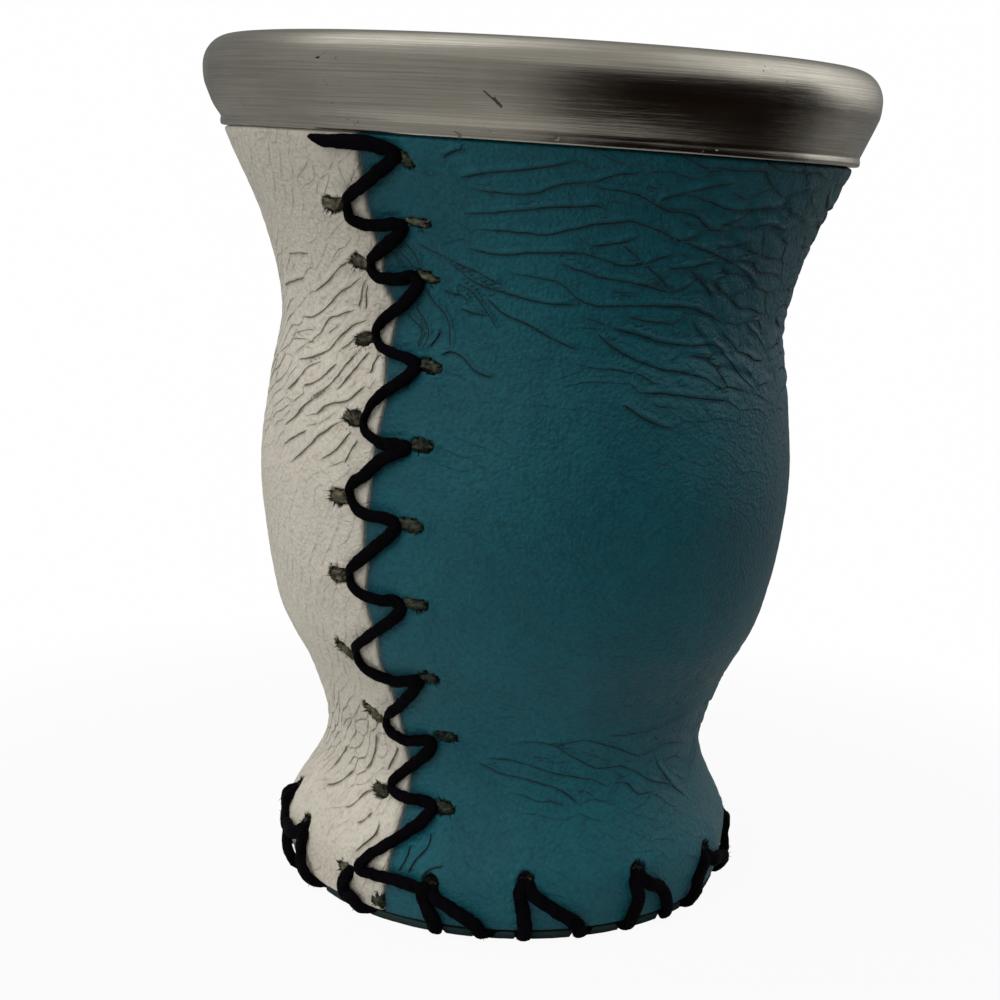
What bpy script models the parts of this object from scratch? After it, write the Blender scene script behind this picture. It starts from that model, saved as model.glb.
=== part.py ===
"""Mate cup: an aluminium cup in a laced leather jacket, with a rolled aluminium rim.

Metres, +Z up. The cup stands on its base with the origin at the middle of the underside.
Angles round the cup are in degrees from -Y, growing towards +X. The front seam is a little
to the left of -Y, with white leather on its left and teal leather on its right.
"""

import bmesh
import bpy
from math import cos, hypot, pi, radians, sin, sqrt
from mathutils import Matrix, Vector

# Whole cup
HEIGHT = 0.105
GAP = 0.0003            # between pieces that touch
SEGMENTS = 36           # facets round a full turn
FACET_BOW = 0.00013     # how far a facet may bow away from the true outline

# Outside of the leather jacket: height and radius
OUTLINE = (
    (0.0080, 0.0285),   # foot
    (0.0180, 0.0246),   # lower waist
    (0.0270, 0.0269),
    (0.0360, 0.0313),
    (0.0520, 0.0339),   # belly
    (0.0640, 0.0330),
    (0.0730, 0.0317),   # upper waist
    (0.0830, 0.0341),
    (0.0935, 0.0389),   # below the rim
)
SOLE_RADIUS = 0.0272    # where the rounded foot meets the table
LEATHER = 0.0018        # leather thickness
JACKET_BOTTOM = 0.0018
JACKET_TOP = 0.0936
FRONT_SEAM = -31.0      # degrees
BACK_SEAM = FRONT_SEAM + 180.0
SEAM_OPENING = 0.0005   # between the two leathers

# Cup under the leather
CUP_WALL = 0.0016
CUP_BOTTOM = 0.0020
CUP_TOP = 0.0995
CUP_TOP_RADIUS = 0.0393
CUP_FLOOR = 0.0140
FLOOR_ROUNDING = 0.0050

# Rim
RIM_BOTTOM = 0.0939
RIM_BOTTOM_RADIUS = 0.0392
RIM_SHOULDER = 0.0993
RIM_SHOULDER_RADIUS = 0.0416
RIM_WIDEST = 0.1012
RIM_RADIUS = 0.04185
CREST_RADIUS = 0.0384
RIM_MOUTH = 0.1026
RIM_MOUTH_RADIUS = 0.0370
SLEEVE_BOTTOM = 0.0974  # the rim turns down inside the mouth to here
SLEEVE = 0.0008

# Base disc
DISC = 0.0015
DISC_RADIUS = 0.02775
DISC_BEVEL = 0.0004

# Waxed lace
LACE_RADIUS = 0.0007
LACE_LIFT = 0.0010      # lace centre above the leather
TURN_LIFT = 0.0008      # the same where it turns into a hole
TURN_REACH = 0.0009     # how far back from its turn the lace is side by side
TURN_HALF = 0.0008
SAG = 0.0008            # slack of the stitches that run to the right
UNDER_HEIGHT = 0.0008   # lace centre where it passes under the edge of the jacket
UNDER_RADIUS = 0.0264
EDGE_RADIUS = 0.0283
SIDE_RADIUS = 0.0292
SIDE_HEIGHT = 0.0020
NOTCH_RADIUS = 0.0252   # how far in the disc is notched for the lace
NOTCH_MARGIN = 0.0011

# Seam stitches from the top: degrees from the seam and height of each turn of the lace.
# Right and left turns take it in turn, beginning at the right.
SEAM_TURNS = (
    (9.2, 0.0915), (-4.6, 0.0866),
    (7.6, 0.0853), (-2.6, 0.0801),
    (9.3, 0.0789), (-2.4, 0.0717),
    (8.8, 0.0698), (-2.7, 0.0625),
    (8.4, 0.0601), (-4.4, 0.0543),
    (7.6, 0.0515), (-4.8, 0.0445),
    (8.0, 0.0419), (-6.6, 0.0344),
    (9.8, 0.0327), (-4.4, 0.0256),
    (11.1, 0.0244), (-3.8, 0.0162),
    (11.5, 0.0148), (-8.5, 0.0064),
)
LACE_START = ((-14.0, 0.0926), (-5.0, 0.0928), (4.0, 0.0926))
LACE_END = ((1.0, 0.0062), (9.0, 0.0067))

# Slots punched for the seam lace, half sizes
SLOT_LENGTH = 0.0021
SLOT_HEIGHT = 0.0010
SLOT_SHIFT = 0.0013     # from the turn of the lace to the middle of its slot

# Base lacing, clockwise seen from below: hole angle and height, the angle where the lace
# comes up round the edge to it, and the angle where it goes under the edge again.
BASE_STITCHES = (
    (-19.0, 0.0059, -17.5, 0.2),
    (4.5, 0.0073, 4.6, 20.5),
    (35.5, 0.0071, 31.5, 44.5),
    (64.5, 0.0057, 54.0, 82.0),
    (89.0, 0.0066, 87.5, 107.0),
    (113.5, 0.0062, 112.0, 130.0),
    (137.0, 0.0070, 136.0, 153.0),
    (169.0, 0.0060, 166.0, 180.0),
    (190.0, 0.0066, 187.0, 206.0),
    (214.0, 0.0064, 212.5, 233.0),
    (239.0, 0.0072, 237.5, 260.0),
    (267.5, 0.0088, 265.5, 278.0),
    (296.5, 0.0076, 286.0, 303.0),
)
BASE_HOLE_WIDTH = 0.0010
BASE_HOLE_HEIGHT = 0.0014
LACING_START = (-44.4, 0.0048)   # in the lowest slot of the front seam
LACING_START_UNDER = -30.5
LONG_STITCH = 12.0      # degrees, above which a stitch has a point in its middle


def outline_slopes():
    """Slope of the outline at each of its points, from the points on either side."""
    slopes = []
    last = len(OUTLINE) - 1
    for i in range(len(OUTLINE)):
        below, above = OUTLINE[max(i - 1, 0)], OUTLINE[min(i + 1, last)]
        slopes.append((above[1] - below[1]) / (above[0] - below[0]))
    return slopes


SLOPES = outline_slopes()


def leather_radius(height):
    """Outside radius of the jacket: a quarter ellipse at the foot, then a smooth curve."""
    foot_height, foot_radius = OUTLINE[0]
    if height < foot_height:
        rise = 1.0 - height / foot_height
        return SOLE_RADIUS + (foot_radius - SOLE_RADIUS) * sqrt(max(0.0, 1.0 - rise * rise))
    i = 0
    while i < len(OUTLINE) - 2 and height > OUTLINE[i + 1][0]:
        i += 1
    (z0, r0), (z1, r1) = OUTLINE[i], OUTLINE[i + 1]
    span = z1 - z0
    t = (height - z0) / span
    return ((2 * t**3 - 3 * t**2 + 1) * r0 + (t**3 - 2 * t**2 + t) * span * SLOPES[i]
            + (3 * t**2 - 2 * t**3) * r1 + (t**3 - t**2) * span * SLOPES[i + 1])


def leather_normal(height):
    """Outward and upward parts of the jacket's surface normal."""
    step = 0.0002
    slope = (leather_radius(height + step) - leather_radius(height - step)) / (2 * step)
    return 1.0 / hypot(1.0, slope), -slope / hypot(1.0, slope)


def lifted(height, lift):
    """Radius and height of the point that stands off the jacket by lift."""
    out, up = leather_normal(height)
    return leather_radius(height) + lift * out, height + lift * up


def place(angle, radius, height):
    turn = radians(angle)
    return Vector((radius * sin(turn), -radius * cos(turn), height))


def on_leather(angle, height, lift):
    return place(angle, *lifted(height, lift))


def degrees_along(length, height):
    """Angle that a length measured round the jacket spans at a height."""
    return length / leather_radius(height) * 180.0 / pi


def ring_heights(bottom, top):
    """Heights of the facet rings, closer where the outline bends more."""
    heights = [bottom]
    step = 0.0001
    while heights[-1] < top:
        low = heights[-1]
        high = low + 0.0015
        while high < top:
            middle = (leather_radius(low) + leather_radius(high)) / 2
            if abs(leather_radius((low + high) / 2) - middle) > FACET_BOW:
                break
            high += step
        heights.append(min(high, top))
    if heights[-1] - heights[-2] < 0.0015:
        heights.pop(-2)
    return heights


def arc(centre, radii, start, end, steps):
    """Points of an elliptical arc in the profile plane, from start to end in degrees."""
    points = []
    for i in range(steps + 1):
        turn = radians(start + (end - start) * i / steps)
        points.append((centre[0] + radii[0] * cos(turn), centre[1] + radii[1] * sin(turn)))
    return points


def clear_scene():
    for thing in list(bpy.data.objects):
        bpy.data.objects.remove(thing, do_unlink=True)


def collection(name):
    made = bpy.data.collections.new(name)
    bpy.context.scene.collection.children.link(made)
    return made


def material(name, color, roughness, metallic=0.0):
    made = bpy.data.materials.new(name)
    made.use_nodes = True
    shader = made.node_tree.nodes["Principled BSDF"]
    shader.inputs["Base Color"].default_value = (*color, 1.0)
    shader.inputs["Roughness"].default_value = roughness
    shader.inputs["Metallic"].default_value = metallic
    made.diffuse_color = (*color, 1.0)
    return made


def profile_object(name, points, closed, group, look=None):
    """An edge chain in the XZ plane, ready to be turned round Z."""
    mesh = bpy.data.meshes.new(name)
    edges = [(i, i + 1) for i in range(len(points) - 1)]
    if closed:
        edges.append((len(points) - 1, 0))
    mesh.from_pydata([(r, 0.0, z) for r, z in points], edges, [])
    thing = bpy.data.objects.new(name, mesh)
    group.objects.link(thing)
    if look:
        mesh.materials.append(look)
    return thing


def turn(thing, degrees, steps):
    screw = thing.modifiers.new("turned", "SCREW")
    screw.axis = "Z"
    screw.angle = radians(degrees)
    screw.steps = steps
    screw.render_steps = steps
    screw.use_merge_vertices = degrees == 360
    screw.merge_threshold = 0.00001
    screw.use_smooth_shade = True
    return screw


def cut(thing, cutter):
    boolean = thing.modifiers.new("cut", "BOOLEAN")
    boolean.operation = "DIFFERENCE"
    boolean.solver = "EXACT"
    boolean.object = cutter


def cup_outer(height):
    return lifted(height, -(LEATHER + GAP))


def cup_inner(height):
    return lifted(height, -(LEATHER + GAP + CUP_WALL))


def make_cup(group, look):
    """The metal cup: a solid foot, a thin wall that follows the jacket, and a flared lip."""
    heights = ring_heights(JACKET_BOTTOM + GAP, JACKET_TOP)
    inside = [cup_inner(z) for z in heights if z > CUP_FLOOR + FLOOR_ROUNDING]
    floor_radius = inside[0][0] - FLOOR_ROUNDING
    corner = arc((floor_radius, CUP_FLOOR + FLOOR_ROUNDING), (FLOOR_ROUNDING, FLOOR_ROUNDING),
                 -90, -15, 3)
    outside = [cup_outer(z) for z in reversed(heights)]
    outside = [point for point in outside if point[1] > CUP_BOTTOM]
    points = [(0.0, CUP_FLOOR)] + corner + inside
    points += [(CUP_TOP_RADIUS - CUP_WALL, CUP_TOP), (CUP_TOP_RADIUS, CUP_TOP)]
    points += outside + [(outside[-1][0], CUP_BOTTOM), (0.0, CUP_BOTTOM)]
    cup = profile_object("cup", points, False, group, look)
    turn(cup, 360, SEGMENTS)


def make_rim(group, look):
    """The rolled rim: a flared skirt outside, a rounded crest, and a sleeve in the mouth."""
    outer = arc((CREST_RADIUS, RIM_WIDEST), (RIM_RADIUS - CREST_RADIUS, HEIGHT - RIM_WIDEST),
                90, 0, 6)
    inner = arc((CREST_RADIUS, RIM_MOUTH), (CREST_RADIUS - RIM_MOUTH_RADIUS, HEIGHT - RIM_MOUTH),
                180, 90, 4)
    wall_top = cup_outer(JACKET_TOP)
    wall_low = cup_inner(JACKET_TOP)
    rise = (SLEEVE_BOTTOM - wall_low[1]) / (CUP_TOP - wall_low[1])
    sleeve_radius = wall_low[0] + rise * (CUP_TOP_RADIUS - CUP_WALL - wall_low[0]) - GAP
    points = outer + [
        (RIM_SHOULDER_RADIUS, RIM_SHOULDER),
        (RIM_BOTTOM_RADIUS + GAP, RIM_BOTTOM + 2 * GAP),
        (RIM_BOTTOM_RADIUS - GAP, RIM_BOTTOM),
        (wall_top[0] + 2 * GAP, RIM_BOTTOM),
        (CUP_TOP_RADIUS + 1.5 * GAP, CUP_TOP + GAP),
        (CUP_TOP_RADIUS - CUP_WALL - 1.5 * GAP, CUP_TOP + GAP),
        (sleeve_radius, SLEEVE_BOTTOM),
        (sleeve_radius - SLEEVE, SLEEVE_BOTTOM),
    ] + inner[:-1]
    rim = profile_object("rim", points, True, group, look)
    turn(rim, 360, SEGMENTS)


def make_disc(group, look, cutter):
    """The leather sole, notched at its edge where the lace passes."""
    points = [
        (0.0, DISC),
        (DISC_RADIUS, DISC),
        (DISC_RADIUS - DISC_BEVEL / 2, DISC_BEVEL),
        (DISC_RADIUS - DISC_BEVEL * 1.5, 0.0),
        (0.0, 0.0),
    ]
    disc = profile_object("base_disc", points, False, group, look)
    turn(disc, 360, SEGMENTS)
    cut(disc, cutter)


def make_leather(name, start, group, look, cutter):
    """Half of the jacket: the outline turned through half a circle and given its thickness."""
    opening = SEAM_OPENING / 2 / OUTLINE[4][1] * 180.0 / pi
    heights = ring_heights(JACKET_BOTTOM, JACKET_TOP + LEATHER / 2)
    points = [(leather_radius(z), z) for z in reversed(heights)]
    panel = profile_object(name, points, False, group, look)
    turn(panel, 180.0 - 2 * opening, SEGMENTS // 2)
    panel.rotation_euler.z = radians(start - 90.0 + opening)
    solidify = panel.modifiers.new("thickness", "SOLIDIFY")
    solidify.thickness = LEATHER
    solidify.offset = -1.0
    solidify.use_even_offset = True
    cut(panel, cutter)


def add_slot(cutters, angle, height, half_width, half_height):
    """An oval punch through the leather, square to its surface."""
    out, up = leather_normal(height)
    across = place(angle, 1.0, 0.0)
    normal = across * out + Vector((0.0, 0.0, up))
    side = place(angle + 90.0, 1.0, 0.0)
    rise = normal.cross(side)
    frame = Matrix((side, rise, normal)).transposed().to_4x4()
    frame.translation = on_leather(angle, height, -LEATHER / 2)
    size = Matrix.Diagonal((half_width, half_height, 1.0, 1.0))
    bmesh.ops.create_cone(cutters, cap_ends=True, segments=8, radius1=1.0, radius2=1.0,
                          depth=2 * LEATHER, matrix=frame @ size)


def cutter_object(name, cutters, group):
    mesh = bpy.data.meshes.new(name)
    bmesh.ops.recalc_face_normals(cutters, faces=cutters.faces)
    cutters.to_mesh(mesh)
    cutters.free()
    thing = bpy.data.objects.new(name, mesh)
    group.objects.link(thing)
    thing.hide_render = True
    thing.display_type = "WIRE"
    return thing


def make_slots(group):
    """The punches for both seams and the base lacing, and the block that trims the top edge."""
    cutters = bmesh.new()
    for seam, hand in ((FRONT_SEAM, 1), (BACK_SEAM, -1)):
        for offset, height in SEAM_TURNS:
            outward = 1 if offset > 0 else -1
            shift = outward * degrees_along(SLOT_SHIFT, height)
            add_slot(cutters, seam + hand * (offset + shift), height, SLOT_LENGTH, SLOT_HEIGHT)
    for angle, height, _, _ in BASE_STITCHES:
        add_slot(cutters, angle, height + BASE_HOLE_HEIGHT / 2, BASE_HOLE_WIDTH, BASE_HOLE_HEIGHT)
    trim = 2 * LEATHER
    above = Matrix.Translation((0.0, 0.0, JACKET_TOP + trim / 2))
    bmesh.ops.create_cube(cutters, size=1.0,
                          matrix=above @ Matrix.Diagonal((HEIGHT, HEIGHT, trim, 1.0)))
    return cutter_object("slot_punches", cutters, group)


def make_notches(group):
    """Blocks that notch the sole wherever the lace passes under the jacket's edge."""
    spans = [(LACING_START_UNDER, BASE_STITCHES[0][2])]
    for here, following in zip(BASE_STITCHES, BASE_STITCHES[1:]):
        spans.append((here[3], following[2]))
    last = BASE_STITCHES[-1][3]
    spans.append((last, last))
    cutters = bmesh.new()
    depth = 0.004
    for start, end in spans:
        middle = radians((start + end) / 2)
        width = 2 * DISC_RADIUS * sin(radians(end - start) / 2) + 2 * NOTCH_MARGIN
        frame = Matrix.Rotation(middle, 4, "Z") @ Matrix.Translation(
            (0.0, -NOTCH_RADIUS - depth / 2, DISC / 2))
        bmesh.ops.create_cube(cutters, size=1.0,
                              matrix=frame @ Matrix.Diagonal((width, depth, 2 * DISC, 1.0)))
    return cutter_object("lace_notches", cutters, group)


def seam_route(seam, hand):
    """Points of a seam lace: zigzag turns joined by straight or slightly slack stitches."""
    points = [on_leather(seam + hand * offset, height, LACE_LIFT)
              for offset, height in LACE_START]
    for i, (offset, height) in enumerate(SEAM_TURNS):
        back = degrees_along(TURN_REACH, height) * (-1 if offset > 0 else 1)
        inner = seam + hand * (offset + back)
        points.append(on_leather(inner, height + TURN_HALF, LACE_LIFT))
        points.append(on_leather(seam + hand * offset, height, TURN_LIFT))
        points.append(on_leather(inner, height - TURN_HALF, LACE_LIFT))
        if i + 1 < len(SEAM_TURNS):
            following, lower = SEAM_TURNS[i + 1]
            slack = SAG if offset < 0 else 0.0
            points.append(on_leather(seam + hand * (offset + following) / 2,
                                     (height + lower) / 2 - slack, LACE_LIFT))
    return points


def passing_under(start, end):
    """The lace round the lower edge of the jacket, along under it and out again."""
    return [
        place(start, SIDE_RADIUS, SIDE_HEIGHT),
        place(start, EDGE_RADIUS, UNDER_HEIGHT),
        place(start, UNDER_RADIUS, UNDER_HEIGHT),
        place(end, UNDER_RADIUS, UNDER_HEIGHT),
        place(end, EDGE_RADIUS, UNDER_HEIGHT),
        place(end, SIDE_RADIUS, SIDE_HEIGHT),
    ]


def base_route():
    """Points of the base lacing: up to each hole, down again, and under the jacket's edge."""
    angle, height = LACING_START
    under = LACING_START_UNDER
    points = [on_leather(angle, height, TURN_LIFT),
              on_leather(angle, height / 2, LACE_LIFT),
              on_leather((angle + under) / 2, SIDE_HEIGHT / 2, LACE_LIFT)]
    points += passing_under(under, BASE_STITCHES[0][2])
    half_turn = degrees_along(TURN_HALF, SIDE_HEIGHT)
    for i, (angle, height, _, down) in enumerate(BASE_STITCHES):
        left, right = angle - half_turn, angle + half_turn
        shoulder = height - TURN_REACH
        points.append(on_leather(left, shoulder, LACE_LIFT))
        points.append(on_leather(angle, height, TURN_LIFT))
        points.append(on_leather(right, shoulder, LACE_LIFT))
        if down - angle > LONG_STITCH:
            points.append(on_leather((right + down) / 2, (height + SIDE_HEIGHT) / 2, LACE_LIFT))
        if i + 1 < len(BASE_STITCHES):
            points += passing_under(down, BASE_STITCHES[i + 1][2])
        else:
            points += passing_under(down, down)[:3]
    return points


def make_lace(name, points, group, look):
    curve = bpy.data.curves.new(name, "CURVE")
    curve.dimensions = "3D"
    curve.bevel_depth = LACE_RADIUS
    curve.bevel_resolution = 2
    curve.use_fill_caps = True
    spline = curve.splines.new("POLY")
    spline.points.add(len(points) - 1)
    for point, where in zip(spline.points, points):
        point.co = (*where, 1.0)
    curve.materials.append(look)
    group.objects.link(bpy.data.objects.new(name, curve))


def main():
    clear_scene()
    parts = collection("mate_cup")
    cutters = collection("cutters")

    aluminium = material("aluminium", (0.46, 0.45, 0.40), 0.34, 1.0)
    inner_aluminium = material("inner_aluminium", (0.50, 0.49, 0.46), 0.45, 1.0)
    white = material("white_leather", (0.55, 0.53, 0.45), 0.62)
    teal = material("teal_leather", (0.03, 0.14, 0.19), 0.5)
    sole = material("sole_leather", (0.05, 0.07, 0.07), 0.7)
    lace = material("waxed_lace", (0.008, 0.008, 0.014), 0.6)

    make_cup(parts, inner_aluminium)
    make_rim(parts, aluminium)
    make_disc(parts, sole, make_notches(cutters))
    slots = make_slots(cutters)
    make_leather("leather_teal", FRONT_SEAM, parts, teal, slots)
    make_leather("leather_white", BACK_SEAM, parts, white, slots)
    front = seam_route(FRONT_SEAM, 1)
    front += [on_leather(FRONT_SEAM + offset, height, LACE_LIFT) for offset, height in LACE_END]
    make_lace("seam_lace_front", front, parts, lace)
    make_lace("seam_lace_back", seam_route(BACK_SEAM, -1), parts, lace)
    make_lace("base_lace", base_route(), parts, lace)


main()
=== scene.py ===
import bmesh
import bpy
import numpy as np
from mathutils import Matrix, Vector


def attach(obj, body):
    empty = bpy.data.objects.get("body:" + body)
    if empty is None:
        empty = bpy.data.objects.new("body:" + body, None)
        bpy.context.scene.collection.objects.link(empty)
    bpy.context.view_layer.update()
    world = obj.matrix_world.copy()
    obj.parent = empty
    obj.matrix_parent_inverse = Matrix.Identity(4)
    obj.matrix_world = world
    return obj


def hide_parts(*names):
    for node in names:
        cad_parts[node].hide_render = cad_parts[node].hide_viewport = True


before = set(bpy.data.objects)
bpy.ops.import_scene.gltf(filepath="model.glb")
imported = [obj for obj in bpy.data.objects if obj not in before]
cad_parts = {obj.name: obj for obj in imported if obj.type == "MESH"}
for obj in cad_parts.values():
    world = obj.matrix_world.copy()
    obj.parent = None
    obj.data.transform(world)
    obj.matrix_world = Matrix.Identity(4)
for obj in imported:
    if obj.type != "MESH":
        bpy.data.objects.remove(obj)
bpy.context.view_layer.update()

# A mate cup: an aluminium cup in a jacket of white and teal leather, laced up both sides and
# round the foot. Lengths are in millimetres until a mesh is made. Angles round the cup are in
# degrees from the front (-Y) towards +X, and "away" is the angle from the front seam.
print("mate cup: frame loaded")

jacket = {
    "outline": ((8.0, 28.5), (18.0, 24.6), (27.0, 26.9), (36.0, 31.3), (52.0, 33.9), (64.0, 33.0),
                (73.0, 31.7), (83.0, 34.1), (93.5, 38.9)),     # height and radius, foot to rim
    "soleRadius": 27.2,
    "meanRadius": 33.0,
    "bottom": 1.15,
    "top": 93.6,
    "thickness": 1.75,
    "edgeRound": 0.32,
    "seamGap": 0.16,         # from the seam's line to each leather
    "frontSeam": -31.0,
    "seamWander": ((0, -1.5), (4, -0.8), (7, 0.3), (12, 0.5), (17.6, 0.7), (19.6, -0.1), (23.7, -0.9),
                   (28, -1.1), (32.8, -1.7), (36.6, -0.9), (38.7, -2.0), (41.3, -2.8), (43.3, -2.0),
                   (45.7, -1.3), (47.2, -2.1), (50.8, -1.7), (52.7, -0.8), (55.9, -0.4), (61.3, 0.2),
                   (64.9, 1.2), (66.9, 0.4), (69.7, -0.1), (71.3, 0.8), (74.3, 1.9), (75.8, 1.3),
                   (78.1, -0.6), (80.3, 0.1), (82.5, -0.8), (85.7, -1.2), (90.1, -0.4), (93, 0.3),
                   (100, 0.3)),
    "edgeLift": 0.55,        # the rim's lower edge rises and falls this much round the cup
    "edgeHighAt": -60.0,
    "footSwell": 1.0,        # how much further the foot stands out on its left
    "swellAt": -98.0,
    "columns": 330,
    "rows": 280,
}

lacing = {
    # the lace's middle line: degrees from the seam, height and share of its full width
    "route": ((-8.6, 93.9, 0.3), (-7.6, 93.7, 0.56), (-5.9, 93.5, 0.83), (-3, 93.5, 1.01),
              (0.2, 93.5, 1.08), (3.1, 93.4, 1.08), (5.2, 93.1, 1.08), (6.7, 92.7, 1.04),
              (7.4, 92.2, 0.94), (5.8, 91.4, 0.97), (3.5, 90.4, 1.01), (0.5, 89.2, 0.97),
              (-2.2, 88.2, 0.9), (-4.2, 87.4, 0.76), (-5, 86.7, 0.49), (-5.4, 86, 0.62),
              (-4.9, 85.2, 0.76), (-3.3, 84.8, 0.83), (-0.8, 84.6, 0.87), (2, 84.7, 0.87),
              (4.7, 84.8, 0.94), (5.8, 84.6, 0.94), (4.9, 83.6, 0.97), (2.8, 82.7, 0.97),
              (-0.1, 81.5, 0.87), (-2, 80.7, 0.73), (-2.6, 80.1, 0.52), (-2.4, 79.4, 0.62),
              (-1, 78.8, 0.76), (1.3, 78.7, 0.83), (4.2, 78.8, 0.87), (6.9, 79, 0.94),
              (7.9, 78.4, 0.97), (6.5, 77.2, 0.97), (4.1, 75.8, 0.94), (0.9, 74.5, 0.83),
              (-1.3, 73.4, 0.73), (-2.4, 72.5, 0.56), (-2.6, 71.7, 0.56), (-1.4, 70.9, 0.69),
              (1.2, 70.3, 0.8), (4.3, 69.9, 0.83), (6.6, 69.5, 0.97), (7.3, 69, 0.97),
              (6.5, 68, 0.97), (4.8, 67.1, 0.94), (2.5, 66.2, 0.87), (0.4, 65.2, 0.76),
              (-1.2, 64.2, 0.66), (-2.3, 63.2, 0.52), (-3.2, 62.2, 0.52), (-2.4, 61.3, 0.62),
              (-0.3, 60.6, 0.73), (2.3, 60.1, 0.87), (5.4, 60.1, 0.97), (7.2, 60, 0.97),
              (5.6, 59.3, 0.97), (3.2, 58.6, 0.97), (0.8, 57.5, 0.97), (-1.1, 56.3, 0.94),
              (-3.3, 55.4, 0.87), (-4.6, 54.5, 0.66), (-4.8, 53.7, 0.52), (-3.9, 52.8, 0.66),
              (-1.7, 52, 0.8), (1.3, 51.8, 0.83), (4.1, 51.7, 0.87), (5.7, 51.1, 0.97),
              (5, 50, 0.97), (2.9, 48.9, 0.97), (0.2, 47.5, 0.94), (-2.7, 46.1, 0.9),
              (-4.9, 44.9, 0.69), (-5.8, 43.9, 0.45), (-5.5, 43.2, 0.59), (-3.9, 42.5, 0.73),
              (-1.3, 42, 0.83), (2.3, 41.9, 0.87), (5.1, 41.9, 0.94), (6.4, 41.4, 0.94),
              (5.5, 40.3, 0.97), (3, 39.1, 0.94), (-0.5, 37.6, 0.9), (-3.6, 36.3, 0.87),
              (-6.6, 35, 0.62), (-7.4, 34.2, 0.4), (-7.3, 33, 0.59), (-4.9, 32.2, 0.76),
              (-1, 31.7, 0.83), (2.7, 31.5, 0.83), (6.2, 31.9, 0.87), (8.4, 32, 0.9), (7, 30.9, 0.9),
              (4.5, 29.5, 0.9), (1, 27.8, 0.87), (-2.2, 26.5, 0.83), (-4.8, 25.4, 0.4),
              (-4.8, 24.2, 0.59), (-2.2, 23.3, 0.76), (2, 23, 0.83), (6.4, 23.5, 0.87),
              (8.6, 23.4, 0.97), (7.8, 22.2, 0.97), (5.2, 20.9, 0.94), (1.1, 19.2, 0.9),
              (-2.1, 17.8, 0.83), (-4.1, 16.7, 0.76), (-4.5, 16, 0.69), (-1.7, 15.5, 0.83),
              (2.4, 15.3, 0.87), (6.3, 15.4, 0.94), (9.2, 14.9, 1.04), (8.1, 13.5, 1.04),
              (4.2, 11.7, 0.9), (-0.6, 9.8, 0.87), (-4.9, 8.1, 0.87), (-7.6, 6.4, 0.8)),
    "end": ((-2.7, 6.2, 0.9), (2.9, 6.3, 0.9), (7.6, 6.1, 0.94), (11.0, 5.9, 0.8), (12.4, 6.2, 0.7)),
    # slots beside its turns: degrees from the seam, height, half length, half height, tilt,
    # how pale the frayed fibre in each is and how much of the teal it shows
    "slots": ((8.5, 91.8, 1.18, 0.6, -38, 0.75, 0.35), (-9.2, 86.3, 1.54, 0.95, -6, 0.75, 0),
              (8.8, 85.1, 1.48, 0.56, -4, 0.95, 0.35), (-5.9, 80.1, 1.33, 0.88, 4, 0.55, 0),
              (9.7, 79.1, 1.4, 0.64, -16, 0.75, 0.35), (-5.9, 71.3, 1.43, 0.72, -16, 0.35, 0.1),
              (10.2, 69.2, 1.38, 0.78, -12, 0.5, 0.55), (-5.9, 62.3, 1.5, 0.95, 5, 0.4, 0.1),
              (10.2, 60.4, 1.43, 0.8, -8, 0.35, 0.5), (-8.2, 53.1, 1.48, 0.95, 0, 0.75, 0),
              (8.7, 51.2, 1.56, 0.75, -5, 0.5, 0.6), (-9.7, 43.6, 1.56, 0.98, 0, 0.6, 0),
              (9.3, 41.8, 1.56, 0.72, -4, 0.5, 0.6), (-11.3, 33.8, 1.63, 0.84, 38, 0.7, 0),
              (10.8, 32.4, 1.3, 0.78, 8, 0.3, 0.9), (-10.1, 25.3, 1.68, 0.84, 35, 0.65, 0),
              (12.5, 24.3, 1.43, 0.76, 0, 0.22, 1), (-8.2, 15.2, 1.2, 0.85, 12, 0.5, 0.1),
              (12.3, 15.1, 1.43, 0.82, -14, 0.45, 0.7), (-13.1, 5.4, 1.28, 0.85, 0, 0.55, 0)),
    "lift": 0.60,
    "sink": 0.45,            # how far the lace dips where it turns into a slot
    "halfWidth": 0.80,
    "halfHeight": 0.60,
    "strayFibres": 2.2,      # per millimetre
}

baseLacing = {
    # hole angle, height, the angle where the lace comes up to it and where it goes down again
    "stitches": ((-18.9, 5.9, -17.4, -7.0), (4.4, 7.2, 4.6, 17.5), (33.9, 7.1, 32.0, 43.5),
                 (61.0, 6.3, 55.0, 80.0), (89.0, 6.6, 87.5, 105.0), (113.5, 6.2, 112.0, 128.0),
                 (137.0, 7.0, 136.0, 151.0), (169.0, 6.0, 166.0, 179.0), (190.0, 6.6, 187.0, 204.0),
                 (214.0, 6.4, 212.5, 231.0), (239.0, 7.2, 237.5, 256.0), (279.0, 9.2, 267.5, 269.5),
                 (296.6, 7.3, 287.0, 298.5)),
    # sideways bend of each leg, in degrees
    "bows": (-0.6, -1.2, 0.0, -1.0, 1.6, 2.2) + (0.0,) * 18 + (-9.0, -2.0),
    "start": ((-41.9, 5.6), (-42.9, 4.6), (-44.2, 3.3), (-43.6, 2.3)),
    "startUnder": -40.5,
    "holeWidth": 0.95,
    "holeHeight": 1.1,
    "holeDip": -0.2,         # how far the lace stands off the leather in a hole
    "legGap": 1.3,           # degrees from a hole's middle to each leg
    "width": 1.06,
}

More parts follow.
